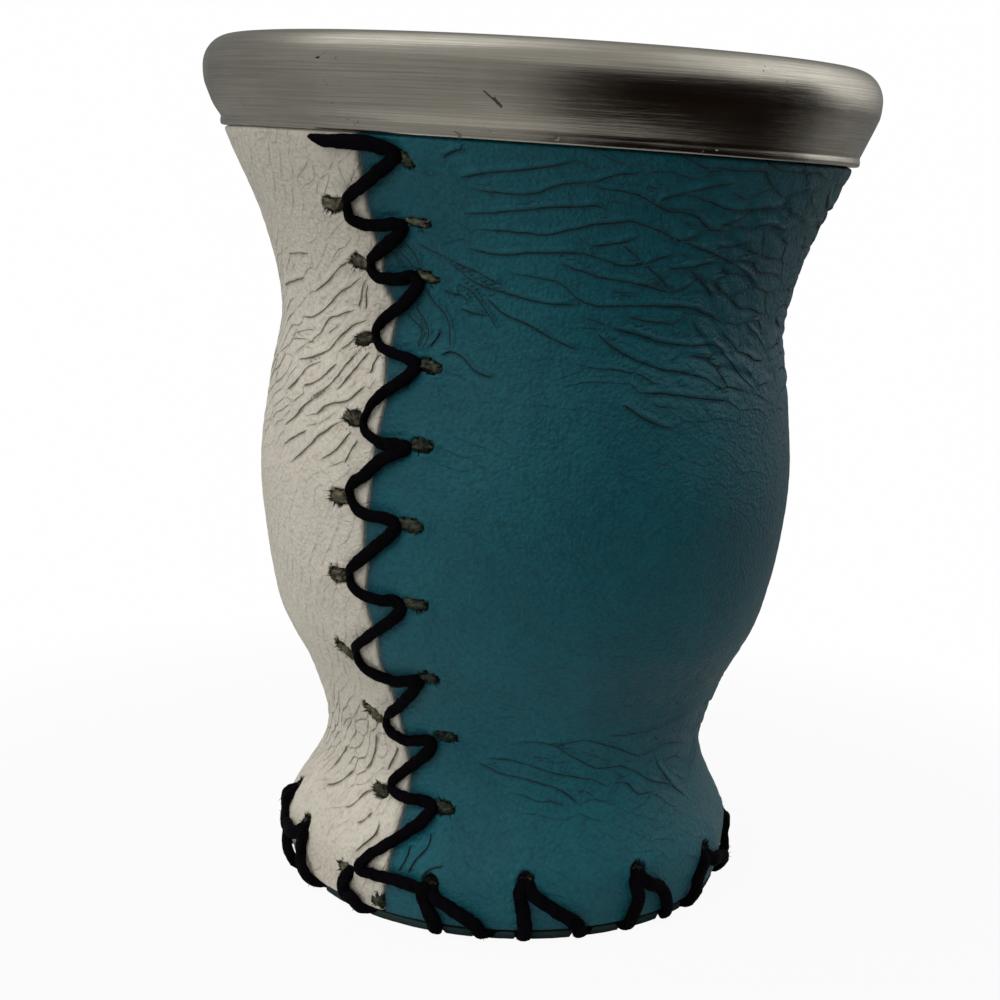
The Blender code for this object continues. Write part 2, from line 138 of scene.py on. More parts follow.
# Main creases of the teal leather: degrees away from the seam and height along each one
tealCreases = (
    ((17, 90.0), (24, 91.1), (30, 91.5), (37, 92.6)),
    ((18, 89.3), (23, 88.8), (31, 89.1), (34, 89.9), (40, 90.5), (44, 91.4), (49, 91.7)),
    ((37, 90.2), (42, 89.7), (48, 89.3), (52, 88.1), (59, 87.4), (64, 85.9), (72, 86.2)),
    ((17, 86.3), (25, 86.7), (32, 87.4), (38, 87.7), (42, 87.7), (44, 87.0)),
    ((17, 84.6), (26, 84.7), (31, 84.5), (37, 85.3), (42, 86.1), (49, 86.3), (54, 85.4), (57, 84.7),
     (62, 85.6), (65, 86.1)),
    ((16, 82.8), (20, 82.4), (25, 82.1), (31, 82.5), (39, 82.7), (43, 82.2), (47, 81.6), (51, 81.9),
     (55, 82.7), (60, 83.4)),
    ((34, 82.2), (40, 80.6), (45, 80.1), (51, 79.6), (58, 78.8), (63, 79.7), (65, 80.9)),
    ((24, 80.1), (31, 79.8), (36, 79.2), (40, 77.5), (48, 77.0), (56, 77.1), (62, 77.1), (68, 76.3),
     (77, 74.3)),
    ((11, 82.3), (15, 80.6), (20, 78.7), (27, 77.7), (34, 77.0), (41, 76.9)),
    ((21, 77.5), (26, 75.3), (30, 74.5), (35, 73.1), (41, 71.7)),
    ((44, 74.8), (51, 74.0), (59, 72.9), (66, 72.5), (72, 72.6), (77, 70.6), (81, 68.6), (88, 65.7)),
    ((43, 74.2), (48, 72.1), (54, 70.6), (62, 69.6), (67, 69.1)),
    ((53, 67.4), (59, 67.1), (66, 66.7), (76, 65.9)),
    ((49, 66.1), (55, 64.2), (61, 63.2)),
    ((51, 88.7), (56, 89.9), (62, 90.8), (66, 91.3)),
    ((54, 90.0), (60, 89.2), (65, 88.4), (72, 88.3), (80, 88.9), (83, 90.2), (87, 91.2)),
    ((54, 85.4), (61, 84.0), (69, 82.7), (76, 81.1), (83, 79.2)),
    ((66, 84.0), (70, 84.0), (75, 84.7)),
    ((56, 81.3), (62, 81.7), (68, 82.4)),
    ((46, 84.1), (50, 82.6), (54, 80.8), (60, 78.4)),
    ((40, 83.5), (45, 84.0), (50, 84.8)),
    ((61, 81.5), (66, 79.7), (70, 77.7)),
    ((72, 85.4), (77, 86.7), (85, 86.0), (92, 87.6)),
    ((65, 85.9), (70, 87.5), (76, 89.2)),
    ((81, 75.0), (89, 72.8), (96, 69.2), (100, 65.7)),
    ((19, 93.2), (15, 92.2)),
    ((7, 83.4), (10, 82.4), (14.5, 81.2), (19, 80.2), (23, 79.1), (26, 78.4)),
    ((9, 77.9), (11, 76.2), (13, 75.1), (14, 73.9), (14.3, 72.6), (14.3, 71.1)),
    ((12, 70.2), (14, 70.9), (17, 70.5), (19, 69.4), (22, 68.6), (24, 68.3)),
    ((16, 75.9), (18, 75.5), (22, 75.1)),
    ((13, 77.8), (15, 77.3), (17, 77.2), (18, 76.3)),
    ((15.5, 78.6), (18, 78.0), (20, 76.9), (22, 75.4), (24, 73.6)),
    ((19, 21.6), (23, 20.9), (28, 19.8), (36, 19.1), (44, 17.9), (51, 15.6)),
    ((23, 21.8), (32, 21.6), (38, 20.6), (46, 19.6), (54, 18.8), (62, 17.1)),
    ((28, 23.8), (35, 24.4), (40, 24.1), (47, 22.4), (55, 20.4), (63, 20.1), (72, 18.0), (85, 15.4),
     (92, 13.1)),
    ((35, 24.6), (43, 24.1), (50, 24.4), (58, 23.3), (70, 21.1), (79, 21.8), (91, 20.6)),
    ((56, 24.8), (65, 24.6), (77, 24.9), (90, 25.7)),
    ((76, 20.1), (80, 18.0), (84, 15.6)),
)
# Fine puckers where the lace pulls the teal leather together
tealPuckers = (
    ((2.5, 82.1), (3.4, 81.1), (4.1, 79.6)),
    ((3.7, 82.1), (5.2, 81.3), (6.5, 80.5), (6.9, 79.7)),
    ((5.1, 82.9), (6.9, 82.1), (8.0, 81.0), (8.2, 79.9)),
    ((4.5, 74.8), (6.3, 74.0), (8.0, 73.2), (7.9, 72.1), (6.9, 70.9)),
    ((6.2, 76.0), (8.2, 74.7), (9.3, 73.6), (9.7, 72.7), (8.9, 71.4), (7.8, 70.6)),
    ((12.5, 73.3), (11.2, 72.1), (10.1, 71.2)),
    ((6.3, 7.0), (8.0, 9.0), (10.6, 10.8), (10.2, 12.4)),
    ((3.5, 6.9), (5.6, 9.1), (5.6, 10.6)),
    ((9.9, 6.8), (11.5, 8.0), (15.5, 8.8)),
)
# The white leather is pulled into slanting folds towards its slots
whiteCreases = (
    ((31.5, 79.9), (26.2, 80.1), (21.4, 80.2)),
    ((40.6, 75.6), (32.6, 76.6), (25.2, 77.3)),
    ((22.8, 75.5), (19.8, 76.4), (14.6, 77.9), (11.9, 79.1), (8.2, 80.1)),
    ((29.8, 72.5), (22.8, 73.0), (18.2, 74.2), (13.4, 76.0), (9.0, 77.3), (4.7, 78.6)),
    ((23.7, 69.8), (20.4, 71.1), (17.2, 73.0), (12.9, 73.8), (8.0, 74.6)),
    ((28.6, 67.4), (20.3, 68.5), (16.2, 69.6), (12.7, 71.4), (8.1, 73.0), (4.6, 73.5)),
    ((30.7, 63.6), (26.0, 65.3), (22.4, 67.1), (17.6, 68.2)),
    ((23.4, 64.6), (17.5, 66.1), (14.1, 67.7), (12.4, 68.3)),
    ((19.8, 63.7), (15.7, 64.8), (12.5, 66.5), (9.6, 68.5), (7.5, 69.9)),
    ((11.8, 64.9), (8.9, 66.9), (6.1, 68.7), (3.6, 70.1)),
    ((29.8, 59.3), (25.1, 60.8), (20.8, 63.1), (16.6, 64.4), (14.4, 65.3)),
    ((17.8, 61.5), (15.0, 62.8), (12.2, 63.5), (8.7, 64.0), (5.6, 65.2), (3.5, 66.4)),
    ((28.8, 57.2), (24.1, 58.7), (18.9, 59.9)),
    ((25.7, 55.1), (20.3, 57.1), (16.8, 58.6), (14.1, 60.1), (10.6, 61.3), (8.1, 61.9)),
    ((14.2, 56.8), (10.7, 58.0), (7.6, 59.9), (5.7, 61.0)),
    ((6.9, 57.0), (6.0, 58.4), (3.9, 60.0)),
    ((3.1, 67.5), (2.4, 68.8), (1.5, 69.9)),
    ((7.5, 74.8), (6.1, 76.7), (4.4, 78.2)),
    ((5.3, 74.6), (5.4, 76.2), (4.2, 77.5)),
    ((19.8, 11.8), (15.9, 12.7), (14.6, 13.9), (10.4, 15.1)),
    ((32.1, 12.9), (26.5, 13.9), (23.7, 15.1), (20.7, 16.4)),
    ((33.4, 14.8), (30.4, 16.7), (27.0, 18.7)),
    ((16.1, 16.7), (13.8, 18.3), (12.1, 20.4), (10.8, 22.4)),
    ((7.5, 17.5), (5.1, 19.5), (2.9, 21.5)),
    ((12.6, 10.9), (9.9, 11.8), (8.5, 12.7)),
    ((10.0, 7.7), (6.8, 9.5), (4.8, 10.8), (5.0, 12.1)),
)


def cubic(t, start, end, span, startSlope, endSlope):
    # the curve from start to end over a span, with the slopes given at both
    return ((2 * t**3 - 3 * t**2 + 1) * start + (t**3 - 2 * t**2 + t) * span * startSlope
            + (3 * t**2 - 2 * t**3) * end + (t**3 - t**2) * span * endSlope)


# The jacket's outline: a quarter ellipse below the foot's height, then a cubic through each
# pair of points with the slope of the points on either side.
outlineHeights, outlineRadii = np.array(jacket["outline"]).T
outlineSlopes = np.empty(len(outlineHeights))
outlineSlopes[1:-1] = ((outlineRadii[2:] - outlineRadii[:-2])
                       / (outlineHeights[2:] - outlineHeights[:-2]))
outlineSlopes[0] = (outlineRadii[1] - outlineRadii[0]) / (outlineHeights[1] - outlineHeights[0])
outlineSlopes[-1] = (outlineRadii[-1] - outlineRadii[-2]) / (outlineHeights[-1] - outlineHeights[-2])


def roughRadius(height):
    i = np.clip(np.searchsorted(outlineHeights, height) - 1, 0, len(outlineHeights) - 2)
    span = outlineHeights[i + 1] - outlineHeights[i]
    t = (height - outlineHeights[i]) / span
    upper = cubic(t, outlineRadii[i], outlineRadii[i + 1], span, outlineSlopes[i], outlineSlopes[i + 1])
    drop = np.clip(1 - height / outlineHeights[0], 0, 1)
    foot = jacket["soleRadius"] + (outlineRadii[0] - jacket["soleRadius"]) * np.sqrt(1 - drop**2)
    return np.where(height < outlineHeights[0], foot, upper)


# the same outline with its corner above the foot softened, read from a fine table
tableHeights = np.arange(0.0, 97.0, 0.1)
tableWeights = np.exp(-(np.arange(-30, 31) / 11.0) ** 2)
tableRadii = np.convolve(roughRadius(np.arange(-3.0, 99.95, 0.1)), tableWeights / tableWeights.sum(),
                         "valid")[:len(tableHeights)]


def jacketRadius(height):
    return np.interp(height, tableHeights, tableRadii)


def jacketNormal(height):
    # outward and upward parts, from the outline's slope over a short step
    slope = (jacketRadius(height + 0.2) - jacketRadius(height - 0.2)) / 0.4
    length = np.hypot(1, slope)
    return 1 / length, -slope / length


def around(angle, radius, height):
    # a point at an angle, a distance from the axis and a height
    turn = np.radians(angle)
    return np.stack(np.broadcast_arrays(radius * np.sin(turn), -radius * np.cos(turn), height), -1)


def onJacket(angle, height, lift):
    # the point that stands off the jacket by lift, square to its surface
    out, up = jacketNormal(height)
    fromSwell = turnBetween(angle, jacket["swellAt"])
    swell = jacket["footSwell"] * np.exp(-((fromSwell / 42) ** 2)) * smoothStep(17, 6, height)
    return around(angle, jacketRadius(height) + swell + lift * out, height + lift * up)


def turnBetween(angle, other):
    # from -180 to 180 degrees
    return (angle - other + 180) % 360 - 180


def alongLeather(angle, height):
    # millimetres round the jacket that an angle takes up
    return angle * np.radians(1) * jacketRadius(height)


def edgeShift(angle):
    # how far the rim's lower edge, and the leather's top, lie above their mean height
    return jacket["edgeLift"] * np.cos(np.radians(angle - jacket["edgeHighAt"]))


def smoothStep(low, high, value):
    t = np.clip((value - low) / (high - low), 0, 1)
    return t * t * (3 - 2 * t)


def bump(value, centre, width):
    return np.exp(-(((value - centre) / width) ** 2))


# Noise on whole arrays
def cellRandom(i, j, seed):
    # one repeatable number from 0 to 1 for each pair of whole numbers
    mixed = (i.astype(np.int64) * 73856093) ^ (j.astype(np.int64) * 19349663) ^ (seed * 83492791)
    mixed = ((mixed ^ (mixed >> 13)) * 1274126177) & 0x7FFFFFFF
    mixed = ((mixed ^ (mixed >> 15)) * 668265263) & 0x7FFFFFFF
    return (mixed >> 7) / float(0x7FFFFFFF >> 7)


def softNoise(u, v, seed):
    # random numbers at whole-number corners, joined by smooth steps in both directions
    i, j = np.floor(u), np.floor(v)
    s, t = u - i, v - j
    s, t = s * s * (3 - 2 * s), t * t * (3 - 2 * t)
    low = cellRandom(i, j, seed) * (1 - s) + cellRandom(i + 1, j, seed) * s
    high = cellRandom(i, j + 1, seed) * (1 - s) + cellRandom(i + 1, j + 1, seed) * s
    return low * (1 - t) + high * t


def layeredNoise(u, v, seed, layers=3):
    # soft noise added at twice the detail and half the strength each time, about 0 from -1 to 1
    total = np.zeros(np.shape(u))
    strength, whole = 1.0, 0.0
    for layer in range(layers):
        total += strength * (2 * softNoise(u * 2**layer, v * 2**layer, seed + layer) - 1)
        whole += strength
        strength /= 2
    return total / whole


def cellBorders(u, v, seed, long, short):
    # each whole-number cell, long by short in size, holds a scattered point. For each place: how
    # far it is from the line half-way between its own point and the nearest one above, the same
    # below, and how level each of these two lines is.
    scatter = 0.85
    i, j = np.floor(u), np.floor(v)
    nearest = np.full(np.shape(u), 99.0)
    ownU, ownV = np.zeros_like(nearest), np.zeros_like(nearest)
    offsets = []
    for a, b in np.ndindex(5, 5):
        a, b = a - 2, b - 2
        toU = i + a + 0.5 + scatter * (cellRandom(i + a, j + b, seed) - 0.5) - u
        toV = j + b + 0.5 + scatter * (cellRandom(i + a, j + b, seed + 7) - 0.5) - v
        offsets.append((toU, toV))
        reach = toU**2 + toV**2
        closer = reach < nearest
        nearest = np.where(closer, reach, nearest)
        ownU, ownV = np.where(closer, toU, ownU), np.where(closer, toV, ownV)
    borders = [np.full(np.shape(u), 9.0), np.full(np.shape(u), 9.0)]
    levels = [np.zeros(np.shape(u)), np.zeros(np.shape(u))]
    for toU, toV in offsets:
        apartU, apartV = (toU - ownU) / long, (toV - ownV) / short
        length = np.maximum(np.hypot(apartU, apartV), 1e-6)
        middle = (toU**2 + toV**2 - ownU**2 - ownV**2) / (2 * length)
        for k, facing in enumerate((apartV > 0, apartV < 0)):
            closer = facing & (middle < borders[k])
            borders[k] = np.where(closer, middle, borders[k])
            levels[k] = np.where(closer, np.abs(apartV) / length, levels[k])
    return borders, levels


def smoothPath(points, spacing):
    # cubics through the points, with slopes weighted by the distances on both sides, read off
    # again at even steps along the length
    points = np.asarray(points, float)
    gaps = np.maximum(np.linalg.norm(np.diff(points, axis=0), axis=1), 1e-6)[:, None]
    rates = np.diff(points, axis=0) / gaps
    slopes = np.vstack((rates[:1], (rates[:-1] * gaps[1:] + rates[1:] * gaps[:-1])
                        / (gaps[1:] + gaps[:-1]), rates[-1:]))
    t = np.linspace(0, 1, 24, endpoint=False)[None, :, None]
    start, end, length = points[:-1, None], points[1:, None], gaps[:, None]
    fine = cubic(t, start, end, length, slopes[:-1, None], slopes[1:, None])
    fine = np.vstack((fine.reshape(-1, points.shape[1]), points[-1:]))
    along = np.concatenate(([0], np.cumsum(np.linalg.norm(np.diff(fine, axis=0), axis=1))))
    even = np.linspace(0, along[-1], max(3, int(round(along[-1] / spacing)) + 1))
    return np.stack([np.interp(even, along, column) for column in fine.T], -1)


def pathDistance(x, y, path):
    # the shortest distance from each place to a chain of short straight pieces, how far along
    # the chain that is, from 0 to 1, and 1 above the chain or -1 below it
    best = np.full(x.shape, 1e9)
    share = np.zeros(x.shape)
    side = np.ones(x.shape)
    rightward = 1 if path[-1, 0] >= path[0, 0] else -1
    starts, spans = path[:-1], np.diff(path, axis=0)
    for k, (start, span) in enumerate(zip(starts, spans)):
        t = np.clip(((x - start[0]) * span[0] + (y - start[1]) * span[1])
                    / max(span @ span, 1e-9), 0, 1)
        reach = (x - start[0] - t * span[0]) ** 2 + (y - start[1] - t * span[1]) ** 2
        closer = reach < best
        best = np.where(closer, reach, best)
        share = np.where(closer, (k + t) / len(spans), share)
        turned = rightward * (span[0] * (y - start[1]) - span[1] * (x - start[0]))
        side = np.where(closer, np.sign(turned), side)
    return np.sqrt(best), share, side


# Meshes from numbers
def makeMesh(name, points, quads=None, triangles=None, marks=None, tidy=False):
    # points in millimetres, faces as rows of point numbers, marks as one number per point
    faces, sizes = [], []
    for rows in (quads, triangles):
        if rows is not None and len(rows):
            faces.append(np.asarray(rows).reshape(-1))
            sizes.append(np.full(len(rows), rows.shape[1]))
    corners = np.concatenate(faces).astype(np.int32)
    sizes = np.concatenate(sizes).astype(np.int32)
    mesh = bpy.data.meshes.new(name)
    mesh.vertices.add(len(points))
    mesh.vertices.foreach_set("co", (np.asarray(points) / 1000).astype(np.float32).reshape(-1))
    mesh.loops.add(len(corners))
    mesh.loops.foreach_set("vertex_index", corners)
    mesh.polygons.add(len(sizes))
    mesh.polygons.foreach_set("loop_start", np.concatenate(([0], np.cumsum(sizes)[:-1])).astype(np.int32))
    mesh.update(calc_edges=True)
    for mark, values in (marks or {}).items():
        layer = mesh.attributes.new(mark, "FLOAT", "POINT")
        layer.data.foreach_set("value", np.asarray(values, np.float32).reshape(-1))
    if tidy:
        work = bmesh.new()
        work.from_mesh(mesh)
        bmesh.ops.remove_doubles(work, verts=work.verts, dist=2e-7)
        bmesh.ops.recalc_face_normals(work, faces=work.faces)
        work.to_mesh(mesh)
        work.free()
    mesh.validate()
    mesh.shade_smooth()
    piece = bpy.data.objects.new(name, mesh)
    bpy.context.scene.collection.objects.link(piece)
    return piece


def gridQuads(rows, columns, ring=False, first=0):
    # faces of a grid whose points are numbered row by row; a ring joins its last column to its first
    j, i = np.meshgrid(np.arange(rows - 1), np.arange(columns if ring else columns - 1), indexing="ij")
    following = (i + 1) % columns
    quads = np.stack((j * columns + i, j * columns + following,
                      (j + 1) * columns + following, (j + 1) * columns + i), -1)
    return quads.reshape(-1, 4) + first


def gridBorder(rows, columns, first=0):
    # point numbers once round a grid's border, each with a place from 0 to 4
    low = np.arange(columns - 1)
    side = np.arange(rows - 1)
    numbers = np.concatenate((low, side * columns + columns - 1,
                              (rows - 1) * columns + columns - 1 - low,
                              (rows - 1 - side) * columns)) + first
    places = np.concatenate((low / (columns - 1), 1 + side / (rows - 1),
                             2 + low / (columns - 1), 3 + side / (rows - 1)))
    return numbers, places


def zipBorders(fine, finePlaces, coarse, coarsePlaces):
    # triangles between a border with many points and one with few
    halfway = (coarsePlaces + np.append(coarsePlaces[1:], 4.0)) / 2
    partner = np.searchsorted(halfway, finePlaces)
    partner = np.append(partner, len(coarse))
    following = np.append(fine, fine[0])
    wrapped = coarse[partner % len(coarse)]
    fans = np.stack((following[:-1], following[1:], wrapped[:-1]), -1)
    moved = partner[1:] != partner[:-1]
    steps = np.stack((following[1:][moved], wrapped[1:][moved], wrapped[:-1][moved]), -1)
    return np.vstack((fans, steps))


def sweptTube(path, normals, halfWidth, halfHeight, sides, size):
    # a flattened round section carried along a path: at each step the section's width lies
    # square to the path and the normal, and its height along the normal; size is a share of both
    tangents = np.gradient(path, axis=0)
    tangents /= np.linalg.norm(tangents, axis=1, keepdims=True)
    across = np.cross(tangents, normals)
    across /= np.maximum(np.linalg.norm(across, axis=1, keepdims=True), 1e-9)
    up = np.cross(across, tangents)
    turn = np.arange(sides) * 2 * np.pi / sides
    wide = np.sign(np.cos(turn)) * np.abs(np.cos(turn)) ** 0.8
    high = np.sign(np.sin(turn)) * np.abs(np.sin(turn)) ** 0.8
    halfWidth = np.broadcast_to(halfWidth, len(path))[:, None, None]
    halfHeight = np.broadcast_to(halfHeight, len(path))[:, None, None]
    points = path[:, None] + size[..., None] * (
        halfWidth * across[:, None] * wide[None, :, None] + halfHeight * up[:, None] * high[None, :, None])
    count = len(path)
    ends = np.stack((path[0], path[-1]))
    points = np.vstack((points.reshape(-1, 3), ends))
    ring = np.arange(sides)
    firstCap = np.stack((np.full(sides, count * sides), (ring + 1) % sides, ring), -1)
    lastRing = (count - 1) * sides
    lastCap = np.stack((np.full(sides, count * sides + 1), lastRing + ring,
                        lastRing + (ring + 1) % sides), -1)
    return points, gridQuads(count, sides, ring=True), np.vstack((firstCap, lastCap))


# Shader maths written as sums
class Wire:
    # one output socket of a finish, written in sums like a number
    def __init__(self, finish, socket):
        self.finish = finish
        self.socket = socket

    def math(self, operation, first, second):
        return self.finish.add("ShaderNodeMath", {"operation": operation}, {0: first, 1: second})

    def __add__(self, other):
        return self.math("ADD", self, other)

    def __radd__(self, other):
        return self.math("ADD", other, self)

    def __sub__(self, other):
        return self.math("SUBTRACT", self, other)

    def __rsub__(self, other):
        return self.math("SUBTRACT", other, self)

    def __mul__(self, other):
        return self.math("MULTIPLY", self, other)

    def __truediv__(self, other):
        return self.math("DIVIDE", self, other)

    def __pow__(self, other):
        return self.math("POWER", self, other)

    def between(self, low, high):
        # 0 at low, 1 at high, smooth between
        return self.finish.add("ShaderNodeMapRange", {"interpolation_type": "SMOOTHSTEP"},
                               {0: self, 1: low, 2: high, 3: 0.0, 4: 1.0})


class Finish:
    def __init__(self, name):
        self.material = bpy.data.materials.new(name)
        self.material.use_nodes = True
        self.tree = self.material.node_tree
        self.tree.nodes.clear()
        self.place = self.add("ShaderNodeTexCoord", output="Object")

    def add(self, kind, settings=None, inputs=None, output=0):
        # any node: its settings first, then a number, colour or link for each socket
        node = self.tree.nodes.new(kind)
        for key, value in (settings or {}).items():
            if key == "stops":
                stops = node.color_ramp.elements
                for k, (position, colour) in enumerate(value):
                    stop = stops[k] if k < 2 else stops.new(position)
                    stop.position = position
                    stop.color = (*colour, 1.0)
            else:
                setattr(node, key, value)
        for key, value in (inputs or {}).items():
            if isinstance(value, Wire):
                self.tree.links.new(value.socket, node.inputs[key])
            else:
                node.inputs[key].default_value = value
        return None if output is None else Wire(self, node.outputs[output])

    def stretched(self, scale):
        return self.add("ShaderNodeVectorMath", {"operation": "MULTIPLY"}, {0: self.place, 1: scale})

    def noise(self, scale, detail=2.0, roughness=0.5, distortion=0.0, place=None):
        return self.add("ShaderNodeTexNoise", {}, {"Vector": place or self.place, "Scale": scale,
                        "Detail": detail, "Roughness": roughness, "Distortion": distortion})

    def cells(self, scale, feature="F1", place=None):
        return self.add("ShaderNodeTexVoronoi", {"feature": feature},
                        {"Vector": place or self.place, "Scale": scale}, "Distance")

    def mark(self, name):
        return self.add("ShaderNodeAttribute", {"attribute_name": name}, output="Fac")

    def parts(self, place):
        # the x, y and z of a vector
        split = self.add("ShaderNodeSeparateXYZ", {}, {0: place})
        return [Wire(self, output) for output in split.socket.node.outputs]

    def blend(self, factor, first, second):
        # two colours, each a wire or three numbers
        first, second = (part if isinstance(part, Wire) else (*part, 1.0) for part in (first, second))
        return self.add("ShaderNodeMix", {"data_type": "RGBA"}, {0: factor, 6: first, 7: second}, 2)

    def relief(self, height, distance, strength=1.0, under=None):
        inputs = {"Height": height, "Distance": distance, "Strength": strength}
        if under:
            inputs["Normal"] = under
        return self.add("ShaderNodeBump", {}, inputs)

    def surface(self, inputs):
        # the shader itself, wired to the output
        return self.close(self.add("ShaderNodeBsdfPrincipled", {}, inputs))

    def close(self, shader, end="ShaderNodeOutputMaterial"):
        self.add(end, {}, {"Surface": shader}, None)
        return self.material


# Finishes
# what each point of a jacket's leather carries: how far it is into a crease, a bulge, a slot or
# the cut edge, the distance to the nearest fold, positive above it, and that fold's strength
leatherMarks = ("crease", "bulge", "hole", "edge", "line", "fold")
grain = {
    # noise and cells per metre
    "broad": 55.0,
    "mottle": 420.0,
    "wrinkles": 520.0,
    "ragged": 1500.0,        # how the edge of a fold's dark line of painted shade wanders
    "pebbles": 2100.0,
    "pores": 2600.0,
    # heights in metres
    "pebbleHeight": 0.00017,
    "wrinkleHeight": 0.00022,
    "foldHeight": 0.00030,
    "inSlot": (0.018, 0.019, 0.013),
}
# The darker colour of each look is used for random darker tone and also as painted shade in creases and
# below folds; the near-black colour and its strength paint the shade along each fold's line.
leatherLook = {
    "teal": {"base": (0.0028, 0.104, 0.142), "darkToneAndShade": (0.0025, 0.042, 0.062), "worn": (0.009, 0.150, 0.194),
             "cut": (0.006, 0.06, 0.09), "slitAndShade": (0.0012, 0.012, 0.017), "slitShadeStrength": 0.75, "roughness": 0.52},
    "white": {"base": (0.710, 0.680, 0.595), "darkToneAndShade": (0.40, 0.37, 0.30), "worn": (0.74, 0.71, 0.645),
              "cut": (0.72, 0.69, 0.61), "slitAndShade": (0.24, 0.22, 0.165), "slitShadeStrength": 0.42, "roughness": 0.58},
}


def leatherFinish(name, look):
    finish = Finish(name)
    broad = finish.noise(grain["broad"], 3.0, 0.55).between(0.3, 0.7)
    mottle = finish.noise(grain["mottle"], 3.0, 0.6).between(0.25, 0.75)
    pebbles = finish.cells(grain["pebbles"], "SMOOTH_F1", finish.stretched((1.0, 1.0, 1.15)))
    pores = finish.noise(grain["pores"], 3.0, 0.65)
    wrinkles = finish.noise(grain["wrinkles"], 4.0, 0.62, 0.6, finish.stretched((1.0, 1.0, 1.6)))
    crease, bulge, hole, edge, line, fold = map(finish.mark, leatherMarks)
    colour = finish.blend(mottle * 0.35 + broad * 0.25, look["base"], look["worn"])
    colour = finish.blend((1 - broad) * 0.22, colour, look["darkToneAndShade"])
    colour = finish.blend(bulge * 0.30, colour, look["worn"])
    colour = finish.blend(pebbles.between(0.32, 0.72) * 0.34, colour, look["darkToneAndShade"])
    colour = finish.blend(pores.between(0.52, 0.72) * 0.28, colour, look["worn"])
    # painted shade: darker in creases, grooves and puckers
    colour = finish.blend((crease ** 1.4) * 0.55, colour, look["darkToneAndShade"])
    colour = finish.blend(edge * 0.75, colour, look["cut"])
    colour = finish.blend(hole, colour, grain["inSlot"])
    # each fold is a crisp pressed-in line, painted dark as the shade in it, with the leather that swells
    # over it and painted shade beneath
    line = line + (finish.noise(grain["ragged"], 2.0, 0.6) - 0.5) * 0.14
    slitAndShade = line.math("ABSOLUTE", line, 0.0).between(0.13, 0.02) * fold.between(0.02, 0.85)
    lid = line.between(-0.06, 0.10) * line.between(0.9, 0.1) * fold
    beneath = line.between(-0.60, -0.05) * line.between(0.05, -0.05) * fold
    # painted shade below each fold
    colour = finish.blend(beneath * 0.30, colour, look["darkToneAndShade"])
    # painted shade along each fold's line
    colour = finish.blend(slitAndShade * look["slitShadeStrength"], colour, look["slitAndShade"])
    rough = finish.relief(pores * 0.9 - pebbles * 0.8, grain["pebbleHeight"], 0.85)
    rough = finish.relief(wrinkles, grain["wrinkleHeight"], 0.45, rough)
    rough = finish.relief(lid - slitAndShade, grain["foldHeight"], 0.9, rough)
    roughness = look["roughness"] + (mottle - 0.5) * 0.12 + crease * 0.15
    return finish.surface({"Base Color": colour, "Roughness": roughness, "Normal": rough,
                           "Specular IOR Level": 0.34, "Sheen Weight": 0.07, "Sheen Roughness": 0.4})


def laceFinish():
    finish = Finish("waxed_lace")
    strands = finish.mark("strand")
    fuzz = finish.noise(5200.0, 3.0, 0.6)
    patches = finish.noise(380.0, 2.0, 0.5).between(0.35, 0.75)
    colour = finish.blend(patches * 0.8, (0.0016, 0.0013, 0.0015), (0.0030, 0.0022, 0.0050))
    colour = finish.blend(strands * 0.3, colour, (0.0045, 0.0034, 0.0060))
    rough = finish.relief(fuzz, 0.00012, 0.8)
    return finish.surface({"Base Color": colour, "Roughness": 0.78 + patches * 0.1, "Normal": rough,
                           "Specular IOR Level": 0.04})


def tuftFinish():
    finish = Finish("frayed_fibre")
    toneAndShade = finish.mark("toneAndShade")
    clots = finish.noise(1500.0, 3.0, 0.65).between(0.38, 0.62)
    grey = finish.blend(clots, (0.215, 0.205, 0.140), (0.085, 0.080, 0.052))
    green = finish.blend(clots, (0.060, 0.105, 0.072), (0.020, 0.052, 0.042))
    colour = finish.blend(finish.mark("teal"), grey, green)
    # how pale the fibre is, with painted shade on its lower side and at one end, down to near black
    colour = finish.blend(toneAndShade, (0.005, 0.005, 0.005), colour)
    rough = finish.relief(finish.noise(4200.0, 3.0, 0.6), 0.00015, 0.9)
    return finish.surface({"Base Color": colour, "Roughness": 0.85 - clots * 0.1, "Normal": rough,
                           "Specular IOR Level": 0.15})


def soleFinish():
    finish = Finish("sole_leather")
    nap = finish.noise(900.0, 4.0, 0.7)
    broad = finish.noise(90.0, 3.0, 0.5).between(0.3, 0.7)
    colour = finish.blend(nap.between(0.3, 0.7), (0.006, 0.020, 0.023), (0.014, 0.038, 0.041))
    colour = finish.blend(broad * 0.5, colour, (0.030, 0.040, 0.036))
    colour = finish.blend(finish.mark("edge") * 0.6, colour, (0.035, 0.065, 0.066))
    rough = finish.relief(nap, 0.0003, 0.8)
    return finish.surface({"Base Color": colour, "Roughness": 0.82 + broad * 0.1, "Normal": rough,
                           "Specular IOR Level": 0.25})


